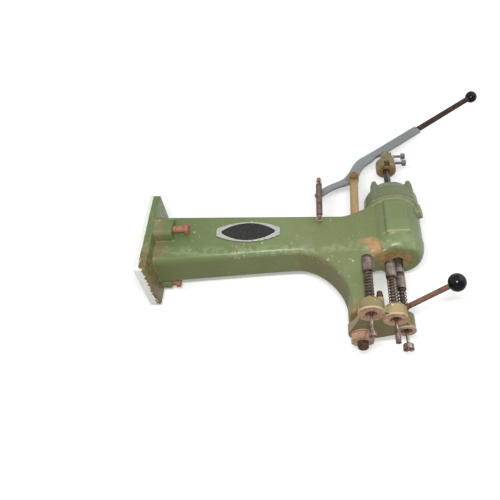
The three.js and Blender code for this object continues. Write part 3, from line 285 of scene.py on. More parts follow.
def tube(points, radius, sides=10):
    """One unbroken wire through points, with flat ends."""
    def ahead(i):
        return (points[min(i + 1, len(points) - 1)] - points[max(i - 1, 0)]).normalized()

    side = UP.cross(ahead(0))
    if side.length < 1e-6:
        side = Vector((1, 0, 0)).cross(ahead(0))
    rows = []
    for i, point in enumerate(points):
        along = ahead(i)
        side = (side - along * side.dot(along)).normalized()
        other = along.cross(side)
        turns = [2 * pi * k / sides for k in range(sides)]
        rows.append([point + (side * cos(t) + other * sin(t)) * radius for t in turns])
    return stack(rows)


def linked(name, data):
    made = bpy.data.objects.new(name, data)
    bpy.context.scene.collection.objects.link(made)
    return made


def new_object(name, shells):
    form = bmesh.new()
    for shell in shells:
        corners = [form.verts.new(point / 1000) for point in shell.points]
        for face in shell.faces:
            form.faces.new([corners[i] for i in face])
    bmesh.ops.recalc_face_normals(form, faces=form.faces)
    mesh = bpy.data.meshes.new(name)
    form.to_mesh(mesh)
    form.free()
    return linked(name, mesh)


def modify(made, kind, **settings):
    step = made.modifiers.new(kind, kind)
    for key, value in settings.items():
        setattr(step, key, value)


def bake_modifiers(made):
    bpy.context.view_layer.update()
    mesh = bpy.data.meshes.new_from_object(made.evaluated_get(bpy.context.evaluated_depsgraph_get()))
    made.modifiers.clear()
    old, made.data = made.data, mesh
    bpy.data.meshes.remove(old)
    mesh.name = made.name


def combine(made, shells, operation):
    """Cuts shells away from a piece or joins them to it; they don't overlap each other."""
    tool = new_object("tool", shells)
    modify(made, "BOOLEAN", operation=operation, solver="MANIFOLD", object=tool)
    bake_modifiers(made)
    bpy.data.objects.remove(tool)


def fitted(name, shells, cutters=()):
    """A piece with turned or drawn faces, from which groups of shells are cut one after another."""
    made = new_object(name, shells)
    for group in cutters:
        combine(made, group, "DIFFERENCE")
    return made


def cast(name, shells, cutters, voxel, rounds):
    """Joins overlapping shells into one skin with round edges and fillets, then cuts it crisply."""
    made = new_object(name, shells)
    modify(made, "REMESH", mode="VOXEL", voxel_size=voxel / 1000)
    modify(made, "SMOOTH", factor=0.5, iterations=rounds)
    bake_modifiers(made)
    for group in cutters:
        combine(made, group, "DIFFERENCE")
    return made


def show(made, body, node, look):
    """Smooths the shading up to an angle, and hangs the piece on its body, if it has one."""
    made.data.polygons.foreach_set("use_smooth", [True] * len(made.data.polygons))
    made.data.set_sharp_from_angle(angle=SHARP)
    made.data.materials.clear()
    made.data.materials.append(LOOKS[look])
    if body:
        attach(made, body)
    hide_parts(node)


# Materials


def tone(*channels):
    """A colour written as 0 to 255, as the linear values that shaders use."""
    shares = [c / 255 for c in channels]
    return (*(s / 12.92 if s < 0.04 else ((s + 0.055) / 1.055) ** 2.4 for s in shares), 1.0)


class Graph:
    """A node tree, with short ways to add nodes and to join them."""

    def __init__(self, tree):
        self.tree = tree

    def add(self, kind, **settings):
        node = self.tree.nodes.new(kind)
        for key, value in settings.items():
            setattr(node, key, value)
        return node

    def feed(self, socket, value):
        if isinstance(value, bpy.types.NodeSocket):
            self.tree.links.new(value, socket)
        else:
            socket.default_value = value

    def made(self, kind, *values, out=0, **settings):
        """Adds a node, feeds its first inputs in their order, and returns one output."""
        node = self.add(kind, **settings)
        for socket, value in zip(node.inputs, values):
            self.feed(socket, value)
        return node.outputs[out]

    def sum(self, operation, first, second, **settings):
        return self.made("ShaderNodeMath", first, second, operation=operation, **settings)

    def vector(self, operation, *values, out=0):
        return self.made("ShaderNodeVectorMath", *values, out=out, operation=operation)

    def spread(self, value, low, high, least, most, **settings):
        """least where value is at low or under it, most at high, and in between."""
        return self.made("ShaderNodeMapRange", value, low, high, least, most, **settings)


class Surface(Graph):
    """A node material whose colour and roughness are built up in layers, each laid on by a mask."""

    def __init__(self, name, colour, roughness=0.5, metallic=0.0, specular=0.5):
        self.material = bpy.data.materials.new(name)
        self.material.use_nodes = True
        super().__init__(self.material.node_tree)
        self.shader = self.tree.nodes["Principled BSDF"]
        self.shader.inputs["Metallic"].default_value = metallic
        self.shader.inputs["Specular IOR Level"].default_value = specular
        self.place = self.made("ShaderNodeTexCoord", out="Object")
        self.colour = tone(*colour)
        self.roughness = roughness
        self.height = None

    def both(self, *masks):
        whole = masks[0]
        for mask in masks[1:]:
            whole = self.sum("MULTIPLY", whole, mask)
        return whole

    def either(self, first, second):
        return self.sum("MAXIMUM", first, second)

    def ramp(self, value, low, high):
        """0 where value is at low or past it, 1 at high, and smooth between them."""
        ends = (high, low, 1.0, 0.0) if low > high else (low, high, 0.0, 1.0)
        return self.spread(value, *ends, interpolation_type="SMOOTHSTEP")

    def noise(self, scale, low, high, detail=4.0, stretch=None):
        """A mask of patches; scale is in patches to the metre."""
        node = self.add("ShaderNodeTexNoise")
        place = self.vector("MULTIPLY", self.place, stretch) if stretch else self.place
        self.feed(node.inputs["Vector"], place)
        node.inputs["Scale"].default_value = scale
        node.inputs["Detail"].default_value = detail
        return self.ramp(node.outputs["Fac"], low, high)

    def ragged(self, value, depth, scale, detail=4.0):
        """A length in metres that patches make longer, by up to depth in millimetres."""
        if not depth:
            return value
        patches = self.noise(scale, 0.3, 0.7, detail)
        return self.sum("ADD", value, self.sum("MULTIPLY", patches, depth / 1000))

    def axis(self, name, low, high, ragged=0.0, scale=60.0):
        """A mask along one axis, from 0 at low to 1 at high, in millimetres."""
        value = self.made("ShaderNodeSeparateXYZ", self.place, out=name)
        return self.ramp(self.ragged(value, ragged, scale), low / 1000, high / 1000)

    def near(self, point, full, gone, ragged=0.0, stretch=(1, 1, 1)):
        """1 within full of a point and 0 beyond gone, with a ragged edge."""
        shift = self.vector("SUBTRACT", self.place, Vector(point) / 1000)
        length = self.vector("LENGTH", self.vector("MULTIPLY", shift, stretch), out="Value")
        return self.ramp(self.ragged(length, ragged, 60, 5), gone / 1000, full / 1000)

    def edges(self, low, high):
        """1 along outward edges where low is under high, or in inward corners where it is over high."""
        return self.ramp(self.made("ShaderNodeNewGeometry", out="Pointiness"), low, high)

    def facing(self, direction, low, high):
        normal = self.made("ShaderNodeTexCoord", out="Normal")
        return self.ramp(self.vector("DOT_PRODUCT", normal, direction, out="Value"), low, high)

    def blended(self, kind, mask, below, above):
        mix = self.add("ShaderNodeMix", data_type=kind)
        # the node has inputs and outputs of every kind: this kind's first of two inputs, and its output
        first, result = {"FLOAT": (2, 0), "RGBA": (6, 2)}[kind]
        for place, value in ((0, mask), (first, below), (first + 1, above)):
            self.feed(mix.inputs[place], value)
        return mix.outputs[result]

    def lay(self, mask, colour, roughness=None, strength=1.0):
        if strength != 1.0:
            mask = self.sum("MULTIPLY", mask, strength)
        self.colour = self.blended("RGBA", mask, self.colour, tone(*colour))
        if roughness is not None:
            self.roughness = self.blended("FLOAT", mask, self.roughness, roughness)

    def lift(self, mask, depth):
        """Adds a height to the bump."""
        part = self.sum("MULTIPLY", mask, depth)
        self.height = part if self.height is None else self.sum("ADD", self.height, part)

    def bumps(self, *rows):
        """Adds patches to the bump, each as what noise() takes and a height."""
        for noise, depth in rows:
            self.lift(self.noise(*noise), depth)

    def done(self):
        bump = self.add("ShaderNodeBump")
        bump.inputs["Distance"].default_value = 0.001
        self.feed(bump.inputs["Height"], self.height)
        self.feed(self.shader.inputs["Normal"], bump.outputs["Normal"])
        self.feed(self.shader.inputs["Base Color"], self.colour)
        self.feed(self.shader.inputs["Roughness"], self.roughness)
        return self.material


RUST = (152, 98, 60)
PRIMER = (190, 172, 134)
PALE_CHIP = (206, 208, 190)


def paint(name, base=(112, 127, 84), light=(121, 137, 92), low=(110, 117, 74)):
    """Old machine enamel, mottled and grimy, with its worn edges and small chips."""
    s = Surface(name, base, 0.28, specular=0.36)
    s.lay(s.noise(11, 0.35, 0.65), light)
    s.lay(s.noise(4, 0.45, 0.7), low, strength=0.6)
    s.lay(s.noise(45, 0.5, 0.75), (132, 143, 108), strength=0.25)
    s.lay(s.noise(22, 0.5, 0.7, 6), (112, 104, 70), 0.55, 0.3)
    s.lay(s.noise(300, 0.56, 0.7, 3), (98, 102, 70), 0.5, 0.35)
    return s


def finish_paint(s, chips=1.0):
    spots = s.both(s.noise(150, 0.67, 0.7, 2), s.noise(14, 0.54, 0.64))
    s.lay(spots, PALE_CHIP, 0.5, 0.7 * chips)
    specks = s.both(s.noise(420, 0.69, 0.72, 1), s.noise(20, 0.5, 0.64))
    s.lay(specks, (176, 180, 152), 0.5, 0.7 * chips)
    s.lay(s.both(s.edges(0.55, 0.63), s.noise(70, 0.5, 0.62)), PRIMER, 0.5, 0.45 * chips)
    # painted shade with grime: darker, browner and rougher in inward corners
    s.lay(s.both(s.edges(0.49, 0.42), s.noise(40, 0.35, 0.6)), (86, 80, 52), 0.7, 0.5)
    s.bumps(((700, 0.2, 0.8, 2), 0.03), ((190, 0.2, 0.8, 3), 0.08), ((45, 0.2, 0.8, 3), 0.25))
    s.lift(spots, -0.1)
    return s.done()


def arm_paint():
    s = paint("arm_paint")
    # browner towards the bottom and on faces turned down towards the wall, and painted shade: darker
    # towards the wall end and on down-facing faces
    s.lay(s.both(s.axis("Z", 0, -70, 20), s.noise(9, 0.25, 0.7)), (120, 120, 76), 0.45, 0.4)
    # painted shade: darker green towards the wall end, where the light falls off
    s.lay(s.axis("X", 330, 130, 60, 8), (96, 114, 67), 0.3, 0.7)
    # painted shade with grime: darker and browner on down-facing faces
    s.lay(s.both(s.facing((0, 0, -1), 0.6, 0.95), s.noise(14, 0.3, 0.6)), (108, 108, 66), 0.6, 0.5)
    s.lay(s.facing((-0.7, 0, -0.7), 0.55, 0.85), (116, 110, 76), 0.8, 0.75)
    # a painted highlight along the rounded lower front edge; scratches and a few chips along that edge, and
    # some on the leg
    # painted highlight: a pale, glossy band along the rounded lower front edge
    edge = s.both(s.axis("Z", -46, -36), s.axis("Z", -14, -34), s.axis("Y", -22, -32))
    s.lay(s.both(edge, s.noise(90, 0.4, 0.62, 6)), (160, 174, 136), 0.3, 0.35)
    s.lay(s.near((369.6, -37, 39), 7, 9, 3, (12, 1, 1)), (196, 204, 176), 0.45, 0.6)
    row = s.both(s.near((186, -34, -34), 8, 34, 12), s.noise(230, 0.63, 0.66, 2))
    s.lay(row, (220, 222, 208), 0.45, 0.85)
    s.lay(s.near((46, -36, -20), 1.4, 3.6, 3), (214, 220, 200), 0.45, 0.9)
    leg = s.both(s.near((372, -38, -75), 16, 60, 30), s.noise(170, 0.66, 0.69, 2))
    s.lay(leg, (206, 208, 188), 0.45, 0.75)
    # rust where water ran down between the barrel and the leg
    tip = s.near((442, -40, -15), 8, 30, 8, (1.0, 0.3, 2.4))
    drop = s.near((454, -42, -32), 8, 26, 8, (1.3, 0.3, 0.85))
    run = s.near((462, -36, -50), 6, 26, 10, (1.0, 0.3, 1.2))
    patch = s.either(s.either(tip, drop), run)
    s.lay(patch, (176, 142, 100), 0.6, 0.9)
    s.lay(s.both(s.near((450, -40, -27), 4, 24, 6), s.noise(60, 0.3, 0.6)), (188, 134, 92), 0.7, 0.85)
    s.lay(s.both(patch, s.noise(110, 0.56, 0.68)), (124, 92, 60), 0.8, 0.5)
    # the worn bottom of the bowl, and a painted highlight along the seam above it
    bowl = s.both(s.near((494, -6, -48), 24, 50, 10), s.axis("Z", -29, -35, 4))
    s.lay(bowl, (134, 122, 68), 0.6, 0.85)
    s.lay(s.both(bowl, s.axis("X", 496, 470, 14)), (178, 140, 92), 0.6, 0.85)
    s.lay(s.both(bowl, s.noise(80, 0.5, 0.66)), (92, 70, 42), 0.8, 0.5)
    # painted highlight: a pale line along the seam between the bowl and the barrel
    seam_highlight = s.both(s.axis("Z", -7.5, -6, 1), s.axis("Z", -3.5, -5, 1), s.near((496, -54, -6), 26, 40, 8))
    s.lay(seam_highlight, (170, 174, 130), 0.5, 0.7)
    s.lay(s.near((506, -10, 40), 48, 66, 10), (108, 120, 80), 0.3, 0.5)
    # the barrel's rim under the seam
    s.lay(s.both(s.axis("Z", 73, 76, 2, 120), s.near((500, 0, 80), 62, 68)), (156, 164, 128), 0.42, 0.5)
    # the foot, rubbed to brown by the turret
    foot = s.axis("Z", -132, -160, 14)
    s.lay(foot, (142, 122, 82), 0.55, 0.6)
    s.lay(s.both(foot, s.noise(55, 0.42, 0.6)), (160, 114, 72), 0.65, 0.75)
    # the lugs, rubbed brown near the flange
    lug = s.both(s.axis("Y", -34, -36), s.axis("X", 54, 34, 8), s.axis("X", 20, 24))
    s.lay(lug, (134, 118, 84), 0.6, 0.6)
    s.lay(s.both(lug, s.noise(60, 0.5, 0.62)), (150, 136, 108), 0.6, 0.6)
    # flange: bare white at the wall and below, with a brown border chipped round it
    worn = s.both(s.axis("X", 23, 21.5), s.axis("Z", 0, -60, 40), s.noise(40, 0.3, 0.5, 6))
    s.lay(worn, (128, 108, 72), 0.6, 0.8)
    s.lay(s.both(worn, s.noise(130, 0.48, 0.62, 4, (1, 0.4, 1))), (92, 74, 48), 0.75, 0.7)
    s.lay(s.both(s.axis("X", 30, 24), s.noise(34, 0.56, 0.66, 6)), (150, 140, 106), 0.55, 0.35)
    under = s.both(s.facing((0, 0, -1), 0.5, 0.8), s.axis("X", 17.5, 16.8, 5, 130))
    bare = s.either(s.axis("X", 8.1, 7.3, 0.8, 200), s.both(under, s.axis("Z", -70, -80)))
    corner = s.both(s.axis("X", 12.4, 11.6, 4, 150), s.axis("Z", -62, -80, 6))
    s.lay(s.either(bare, corner), (236, 238, 232), 0.4, 0.96)
    return finish_paint(s)


def cap_paint():
    s = paint("cap_paint", (108, 119, 86), (118, 130, 97), (103, 111, 80))
    s.lay(s.axis("Z", 83.6, 82.4, 1, 160), (160, 168, 132), 0.45, 0.6)
    s.lay(s.both(s.axis("Z", 85.6, 87), s.axis("Z", 91.5, 89.5, 1.5)), (112, 102, 66), 0.55, 0.6)
    s.lay(s.both(s.facing((0, 0, 1), 0.6, 0.9), s.noise(30, 0.4, 0.6)), (112, 102, 74), 0.65, 0.6)
    return finish_paint(s)


def turret_paint():
    s = paint("turret_paint", (118, 116, 74), (130, 128, 86), (108, 104, 66))
    s.lay(s.noise(26, 0.46, 0.64, 6), (142, 124, 86), 0.6, 0.6)
    boss = s.both(s.near((*TOOL_PLACES["b"].xy, -180), 26, 32, 4), s.noise(34, 0.28, 0.5))
    s.lay(boss, (170, 150, 106), 0.6, 0.8)
    s.lay(s.noise(50, 0.54, 0.66, 5), (164, 118, 80), 0.7, 0.5)
    s.lay(s.near((TURRET.x, TURRET.y, -182), 26, 30, 4), (164, 140, 100), 0.6, 0.8)
    # the fan's underside is darker and greener, and only the bosses' ends are bare
    fan = s.both(s.facing((0, 0, -1), 0.8, 0.95), s.axis("Z", -191, -190.4))
    s.lay(fan, (102, 102, 64), 0.6, 0.9)
    s.lay(s.both(fan, s.noise(30, 0.42, 0.6)), (120, 102, 68), 0.7, 0.75)
    bare = s.axis("Z", -190.6, -192, 0.8, 140)
    s.lay(bare, (172, 136, 112), 0.5, 0.95)
    s.lay(s.both(bare, s.noise(90, 0.48, 0.64, 6)), (140, 100, 78), 0.6, 0.7)
    s.lay(s.both(bare, s.noise(200, 0.56, 0.66)), (200, 172, 146), 0.4, 0.7)
    # painted highlight: a pale band round the side of each boss, just above its bare end
    rim = s.both(s.axis("Z", -188.9, -189.4), s.axis("Z", -193, -192), s.facing((0, 0, -1), 0.6, 0.3))
    s.lay(rim, (206, 186, 150), 0.4, 0.6)
    for place in TOOL_PLACES.values():
        # painted shade: darker in the recess at each boss's end
        recess_shade = s.both(s.near((*place.xy, -189), 11, 12), s.axis("Z", -187, -188))
        s.lay(recess_shade, (112, 82, 66), 0.6, 0.8)
    s.lay(s.near((*OILER_PLACE.xy, -160), 15, 19, 0, (1.8, 1.8, 1)), (176, 146, 104), 0.6, 0.8)
    return finish_paint(s, 1.2)


def yoke_paint():
    s = paint("yoke_paint", (122, 118, 78), (136, 132, 92), (108, 100, 64))
    s.lay(s.axis("X", 503, 508, 3, 160), (132, 118, 88), 0.6, 0.7)
    s.lay(s.both(s.axis("Z", 219, 211, 6), s.noise(34, 0.36, 0.56, 5)), (148, 116, 74), 0.65, 0.6)
    s.lay(s.noise(90, 0.52, 0.66, 6), (156, 142, 96), 0.65, 0.6)
    s.lay(s.noise(150, 0.55, 0.66, 5), (96, 78, 52), 0.75, 0.6)
    return finish_paint(s, 1.2)


def rusty(name, base=(138, 100, 74), light=(176, 136, 98), dark=(74, 54, 42), metallic=0.2):
    s = Surface(name, base, 0.7, metallic)
    s.lay(s.noise(55, 0.38, 0.66, 5), light, 0.8, 0.8)
    s.lay(s.noise(140, 0.5, 0.66, 5), dark, 0.8, 0.75)
    s.lay(s.noise(380, 0.54, 0.68, 3), RUST, 0.88, 0.6)
    s.bumps(((900, 0.2, 0.8, 2), 0.05), ((330, 0.25, 0.75, 3), 0.12), ((110, 0.3, 0.7, 3), 0.16))
    return s.done()


def worn_steel(name, base=(158, 152, 146), dark=(104, 90, 80), amount=0.6, roughness=0.3, metallic=0.8):
    s = Surface(name, base, roughness, metallic)
    s.lay(s.noise(75, 0.42, 0.68, 5), dark, roughness + 0.2, amount)
    s.lay(s.noise(260, 0.56, 0.68, 3), (126, 90, 66), 0.7, amount)
    s.bumps(((1500, 0.2, 0.8, 2, (1, 1, 0.08)), 0.02), ((260, 0.3, 0.7, 3), 0.05))
    return s.done()


def quill_steel():
    """Dark ground steel, streaked along the quill, with rust spots."""
    s = Surface("quill_steel", (104, 100, 94), 0.26, 0.8)
    s.lay(s.noise(160, 0.42, 0.6, 3, (1, 1, 0.06)), (40, 36, 34), 0.36, 0.85)
    s.lay(s.noise(120, 0.55, 0.68, 4), (96, 70, 52), 0.6, 0.5)
    s.bumps(((1500, 0.2, 0.8, 2, (1, 1, 0.08)), 0.02))
    return s.done()


def return_wire():
    """Dark spring wire with paler hooks."""
    s = Surface("return_wire", (118, 104, 94), 0.42, 0.5)
    s.lay(s.noise(75, 0.42, 0.68, 5), (72, 60, 52), 0.6, 0.7)
    ends = s.either(s.axis("Z", 46, 42), s.axis("Z", 128, 132))
    s.lay(ends, (196, 186, 168), 0.36, 0.8)
    s.bumps(((260, 0.3, 0.7, 3), 0.05))
    return s.done()


def lever_paint():
    s = Surface("lever_paint", (130, 135, 136), 0.42)
    s.lay(s.noise(14, 0.35, 0.65), (138, 144, 147))
    s.lay(s.noise(6, 0.45, 0.7), (124, 130, 132), strength=0.7)
    s.lay(s.noise(90, 0.6, 0.7, 5), (118, 114, 106), 0.55, 0.5)
    s.lay(s.both(s.edges(0.54, 0.62), s.noise(60, 0.5, 0.64)), (104, 96, 86), 0.5, 0.6)
    s.lay(s.near((418, 0, 176), 8, 24, 12), (136, 108, 78), 0.7, 0.7)
    s.lay(s.noise(260, 0.68, 0.71, 2), (98, 82, 68), 0.6, 0.8)
    s.bumps(((700, 0.2, 0.8, 2), 0.03), ((60, 0.2, 0.8, 3), 0.18))
    return s.done()


def post_iron():
    s = Surface("post_iron", (176, 150, 112), 0.62, 0.1)
    s.lay(s.axis("Z", 130, 84, 20), (208, 160, 122), 0.7, 0.8)
    s.lay(s.noise(24, 0.4, 0.64, 5, (1, 1, 0.35)), (160, 132, 88), 0.7, 0.7)
    s.lay(s.axis("X", PIVOT.x - 3, PIVOT.x - 7, 4, 80), (132, 130, 88), 0.6, 0.75)
    s.lay(s.axis("Z", 160, 176, 10), (128, 104, 56), 0.75, 0.8)
    s.lay(s.both(s.axis("Z", 168, 176), s.noise(90, 0.42, 0.6)), (96, 72, 40), 0.75, 0.8)
    s.lay(s.noise(260, 0.58, 0.68, 3), (112, 82, 54), 0.8, 0.45)
    s.bumps(((420, 0.25, 0.75, 3), 0.08), ((90, 0.3, 0.7, 3), 0.16))
    return s.done()


def knob_gloss():
    s = Surface("knob_gloss", (7, 8, 9), 0.12, specular=0.26)
    s.lay(s.noise(120, 0.55, 0.7, 4), (18, 17, 16), 0.3, 0.6)
    s.lay(s.noise(500, 0.68, 0.71, 2), (56, 52, 48), 0.5, 0.4)
    s.bumps(((70, 0.2, 0.8, 2), 0.05))
    return s.done()


def badge_metal():
    s = Surface("badge_metal", (184, 184, 178), 0.32, 0.3)
    s.lay(s.noise(200, 0.5, 0.66, 4), (140, 138, 128), 0.45, 0.6)
    field = s.axis("Y", -39.45, -39.15)
    s.lay(field, (31, 31, 29), 0.42)
    s.lay(s.both(field, s.noise(130, 0.48, 0.7, 5)), (52, 51, 47), 0.5, 0.7)
    s.lay(s.both(field, s.noise(600, 0.66, 0.7, 2)), (110, 108, 100), 0.5, 0.5)
    s.bumps(((800, 0.2, 0.8, 2), 0.03))
    return s.done()


def plain_metal(name, base, second, roughness, stripes=0.0):
    s = Surface(name, base, roughness, 0.7)
    s.lay(s.noise(80, 0.4, 0.68, 5), second, roughness + 0.15, 0.7)
    if stripes:
        wave = s.add("ShaderNodeTexWave", bands_direction="Z")
        s.feed(wave.inputs["Vector"], s.place)
        wave.inputs["Scale"].default_value = stripes
        s.lift(wave.outputs["Fac"], 0.1)
    s.bumps(((500, 0.2, 0.8, 2), 0.04))
    return s.done()


RUSTY = {
    "rust": (),
    "rust_orange": ((158, 106, 82), (180, 128, 104), (108, 72, 54)),
    "rust_brown": ((134, 106, 88), (164, 138, 116), (80, 60, 48)),
    "washer_pink": ((164, 128, 108), (186, 150, 128), (116, 84, 66)),
    "pale_ring": ((190, 166, 138), (206, 184, 158), (140, 112, 88), 0),
    "nut_brown": ((172, 140, 116), (194, 160, 134), (116, 86, 68)),
    "retainer_olive": ((146, 122, 74), (166, 140, 88), (104, 80, 48), 0),
    "stud_dark": ((70, 54, 46), (98, 78, 66), (38, 30, 26), 0.4),
    "pin_tan": ((128, 102, 54), (150, 122, 72), (78, 58, 32)),
    "dark_rod": ((46, 33, 27), (74, 55, 45), (26, 20, 17), 0.4),
    "copper_rod": ((112, 80, 62), (134, 102, 82), (64, 44, 34), 0.4),
    "oil_cap": ((66, 52, 42), (98, 78, 60), (38, 30, 26), 0.4),
}
WORN_STEEL = {
    "tool_wire": ((118, 102, 90), (70, 56, 48), 0.7, 0.36, 0.6),
    "cup_steel": ((132, 120, 112), (74, 62, 56), 0.7, 0.3, 0.7),
    "dark_steel": ((84, 72, 64), (46, 36, 32), 0.8, 0.36, 0.6),
    "steel": (),
    "screw_steel": ((128, 130, 130), (70, 68, 66), 0.6, 0.24, 0.9),
    "bright": ((196, 190, 184), (128, 108, 96), 0.45, 0.22, 0.9),
    # the bits' dark patches are partly worn steel and partly painted reflection of dark surroundings
    "bit_steel_painted_reflection": ((168, 150, 142), (70, 54, 48), 0.75, 0.2, 0.9),
}
PLAIN_METAL = {
    "copper": ((160, 96, 56), (110, 62, 40), 0.4, 90),
    "laminations": ((96, 96, 98), (72, 70, 70), 0.5, 160),
    "bronze": ((150, 122, 72), (110, 86, 52), 0.38),
}
LOOKS = {
    "arm": arm_paint(),
    "cap": cap_paint(),
    "turret": turret_paint(),
    "yoke": yoke_paint(),
    "lever": lever_paint(),
    "post": post_iron(),
    "knob": knob_gloss(),
    "badge": badge_metal(),
    "return_wire": return_wire(),
    "quill_steel": quill_steel(),
    **{name: rusty(name, *values) for name, values in RUSTY.items()},
    **{name: worn_steel(name, *values) for name, values in WORN_STEEL.items()},
    **{name: plain_metal(name, *values) for name, values in PLAIN_METAL.items()},
}
SLOT_LOOKS = {
    "green_paint": "arm", "lever_paint": "lever", "rusty_iron": "rust", "bare_rod": "copper_rod",
    "black_knob": "knob", "spring_steel": "tool_wire", "bright_steel": "bright", "steel": "steel",
    "copper": "copper", "laminations": "laminations", "bronze": "bronze", "badge": "badge",
}
SLOTS = {part["node"]: part["material_slot"] for part in frame["record"]["subparts"]}
for node, solid in frame["nodes"].items():
    solid.data.materials.clear()
    solid.data.materials.append(LOOKS[SLOT_LOOKS[SLOTS[node]]])


# The cast arm with its flange, leg, foot and barrel


def inlet(radius, start, end):
    return disc(radius, start, end).aimed(INLET_WAY).at(INLET_PLACE)


def arm_outline():
    left, right = TURRET.x - 22.5, TURRET.x + 22.5
    inside, sweep = THROAT - 22.5, TURRET.x - 117.5
    return [
        *arm_top(),
        (inside, -20), (right + 26, -39.5),
        *curve([(right + 26, -39.5), (right, -39.5), (right, -67.5)], 16)[1:],
        (right, -172), (left, -172),
        *curve([(left, -136), (left - 4.5, -86.5), (sweep + 42.75, -37), (sweep, -37)], 40),
        *curve([(sweep, -37), (sweep * 0.9, -37), (10.5, -57)], 30)[1:],
    ]


def arm_top():
    inside, rise = THROAT - 22.5, THROAT - 45
    return [
        *curve([(10.5, 56.5), (rise - 66, 49.5)], 12),
        *curve([(rise - 66, 49.5), (rise - 44, 49.5), (rise, 79)], 20)[1:],
        (inside, 79),
    ]


# Each bolt's name, its lug's reach and size, its own y and z, and how far its head stands out
BOLTS = [("front", 36, (31, 41, 10), -50.5, 13, 22), ("back", 19, (24, 24, 11), 54, -44, 9)]
CAP_LUGS = [MOTOR + Vector((x, y, 0)) for x in (-35.71, 35.71) for y in (-35.71, 35.71)]
TAIL_PIN = PIVOT + Vector((-77.784, 0, -43.904))
POST_SCREWS = [Vector((PIVOT.x + x, 12, 0)) for x in (-9, 9)]
PEGS = [204 - 55.5, 204 + 55.5]


def make_arm():
    bowl = [(42 + 13.9 * sin(t), -5 - 34.5 * cos(t)) for t in span(0, pi / 2, 14)]
    shells = [
        side_view(arm_outline(), ARM_HALF, 14, 6),
        side_view(arm_outline(), ARM_HALF / 2, 5, 3, ARM_HALF / 2),
        side_view([*arm_top(), (THROAT - 22.5, 8), (10.5, 8)], ARM_HALF, 5, 3),
        along_x(round_rectangle(132, 184, 6), -5, 21),
        lathe([(0, -39.5), *bowl, (55, -3.6), (55, 88), (0, 88)], 128).at(MOTOR),
        side_view([p + Vector((THROAT, 31)) for p in round_rectangle(48, 86, 6)], 19.9, 6, 5, -37.9),
        prism([p + PIVOT.xy for p in round_rectangle(38, 50, 4)], 0, 62),
        disc(24, -172, -120, 72, 2).at(TURRET),
        inlet(15, 45.3, 62),
        *[along_x(round_rectangle(*size), 10, 21 + reach, y, z) for _, reach, size, y, z, _ in BOLTS],
    ]
    inside = [
        (0, -50), (28, -50), (28, -18.4), (23, -18.4), (23, -14), (45, -14), (45, 95), (0, 95),
    ]
    first = [
        box((-20, 0), (-90, 90), (-110, 110)),
        box((436, 570), (-80, 80), (81, 100)),
        box((370, 470), (-70, 70), (-190, -170)),
        box((30, 375), (-28.5, 28.5), (-28, 40.5)),
    ]
    second = [
        lathe(inside, 96).at(MOTOR),
        box((406, 444), (-25, 25), (62, 90)),
        *[disc(7.3, -30, 90, 32).aimed(OUT).moved(0, y, z) for _, _, _, y, z, _ in BOLTS],
        *[disc(3.3, 39.3, 90, 24).at(place) for place in CAP_LUGS],
        *[disc(2.8, -6.3, 6, 20).aimed(FRONT).moved(x, -ARM_HALF, 11.5) for x in PEGS],
        disc(3.8, -7.3, 6, 24).aimed(FRONT).moved(TAIL_PIN.x, -ARM_HALF, 36),
        disc(10.3, -180, -111.7, 48).at(TURRET),
    ]
    third = [
        *[disc(14, -15, 6, 64).aimed(BACK).moved(x, ARM_HALF, 6.25) for x in (97.5, 307.5)],
        *[disc(3.3, 44, 70, 24).at(place) for place in POST_SCREWS],
        inlet(10, 39, 70),
    ]
    arm = cast("arm_fine", shells, [first, second, third, [inlet(12.3, 57, 70)]], 1.3, 7)
    show(arm, "frame", "arm_casting", "arm")


def make_cap():
    dome = [(0, 72), (58, 72), (58, 90), (57, 112), (46, 132), (0, 132)]
    lug = [(0, 82), (10, 82), (9.2, 112), (8.2, 128), (6.6, 134), (0, 134)]
    inside = [
        (0, 60), (45, 60), (45, 107.4), (28, 107.4), (28, 124), (8.5, 124), (8.5, 160), (0, 160),
    ]
    shells = [lathe(dome, 128, 2.5).at(MOTOR), *[lathe(lug, 48, 0.8).at(place) for place in CAP_LUGS]]
    holes = [disc(3.3, 74, 160, 24).at(place) for place in CAP_LUGS]
    below = box((430, 570), (-70, 70), (50, 81.3))
    cap = cast("motor_cap_fine", shells, [[below], [lathe(inside, 96).at(MOTOR), *holes]], 1.1, 5)
    show(cap, "frame", "motor_cap", "cap")


def bolt(across, height, radius, length, sides=6):
    """A bolt along +Z: its shank ends at -length and its head stands on 0."""
    return [head(across, 0, height, sides), disc(radius, -length, 0.5, 32, 0.5)]


def fixing(node, body, parts, direction, place, look, cutters=()):
    """A bolt, nut, pin or ring set along a direction at a place."""
    set_up = [part.aimed(direction).at(place) for part in parts]
    holes = [[hole.aimed(direction).at(place) for hole in group] for group in cutters]
    show(fitted(node + "_fine", set_up, holes), body, node, look)


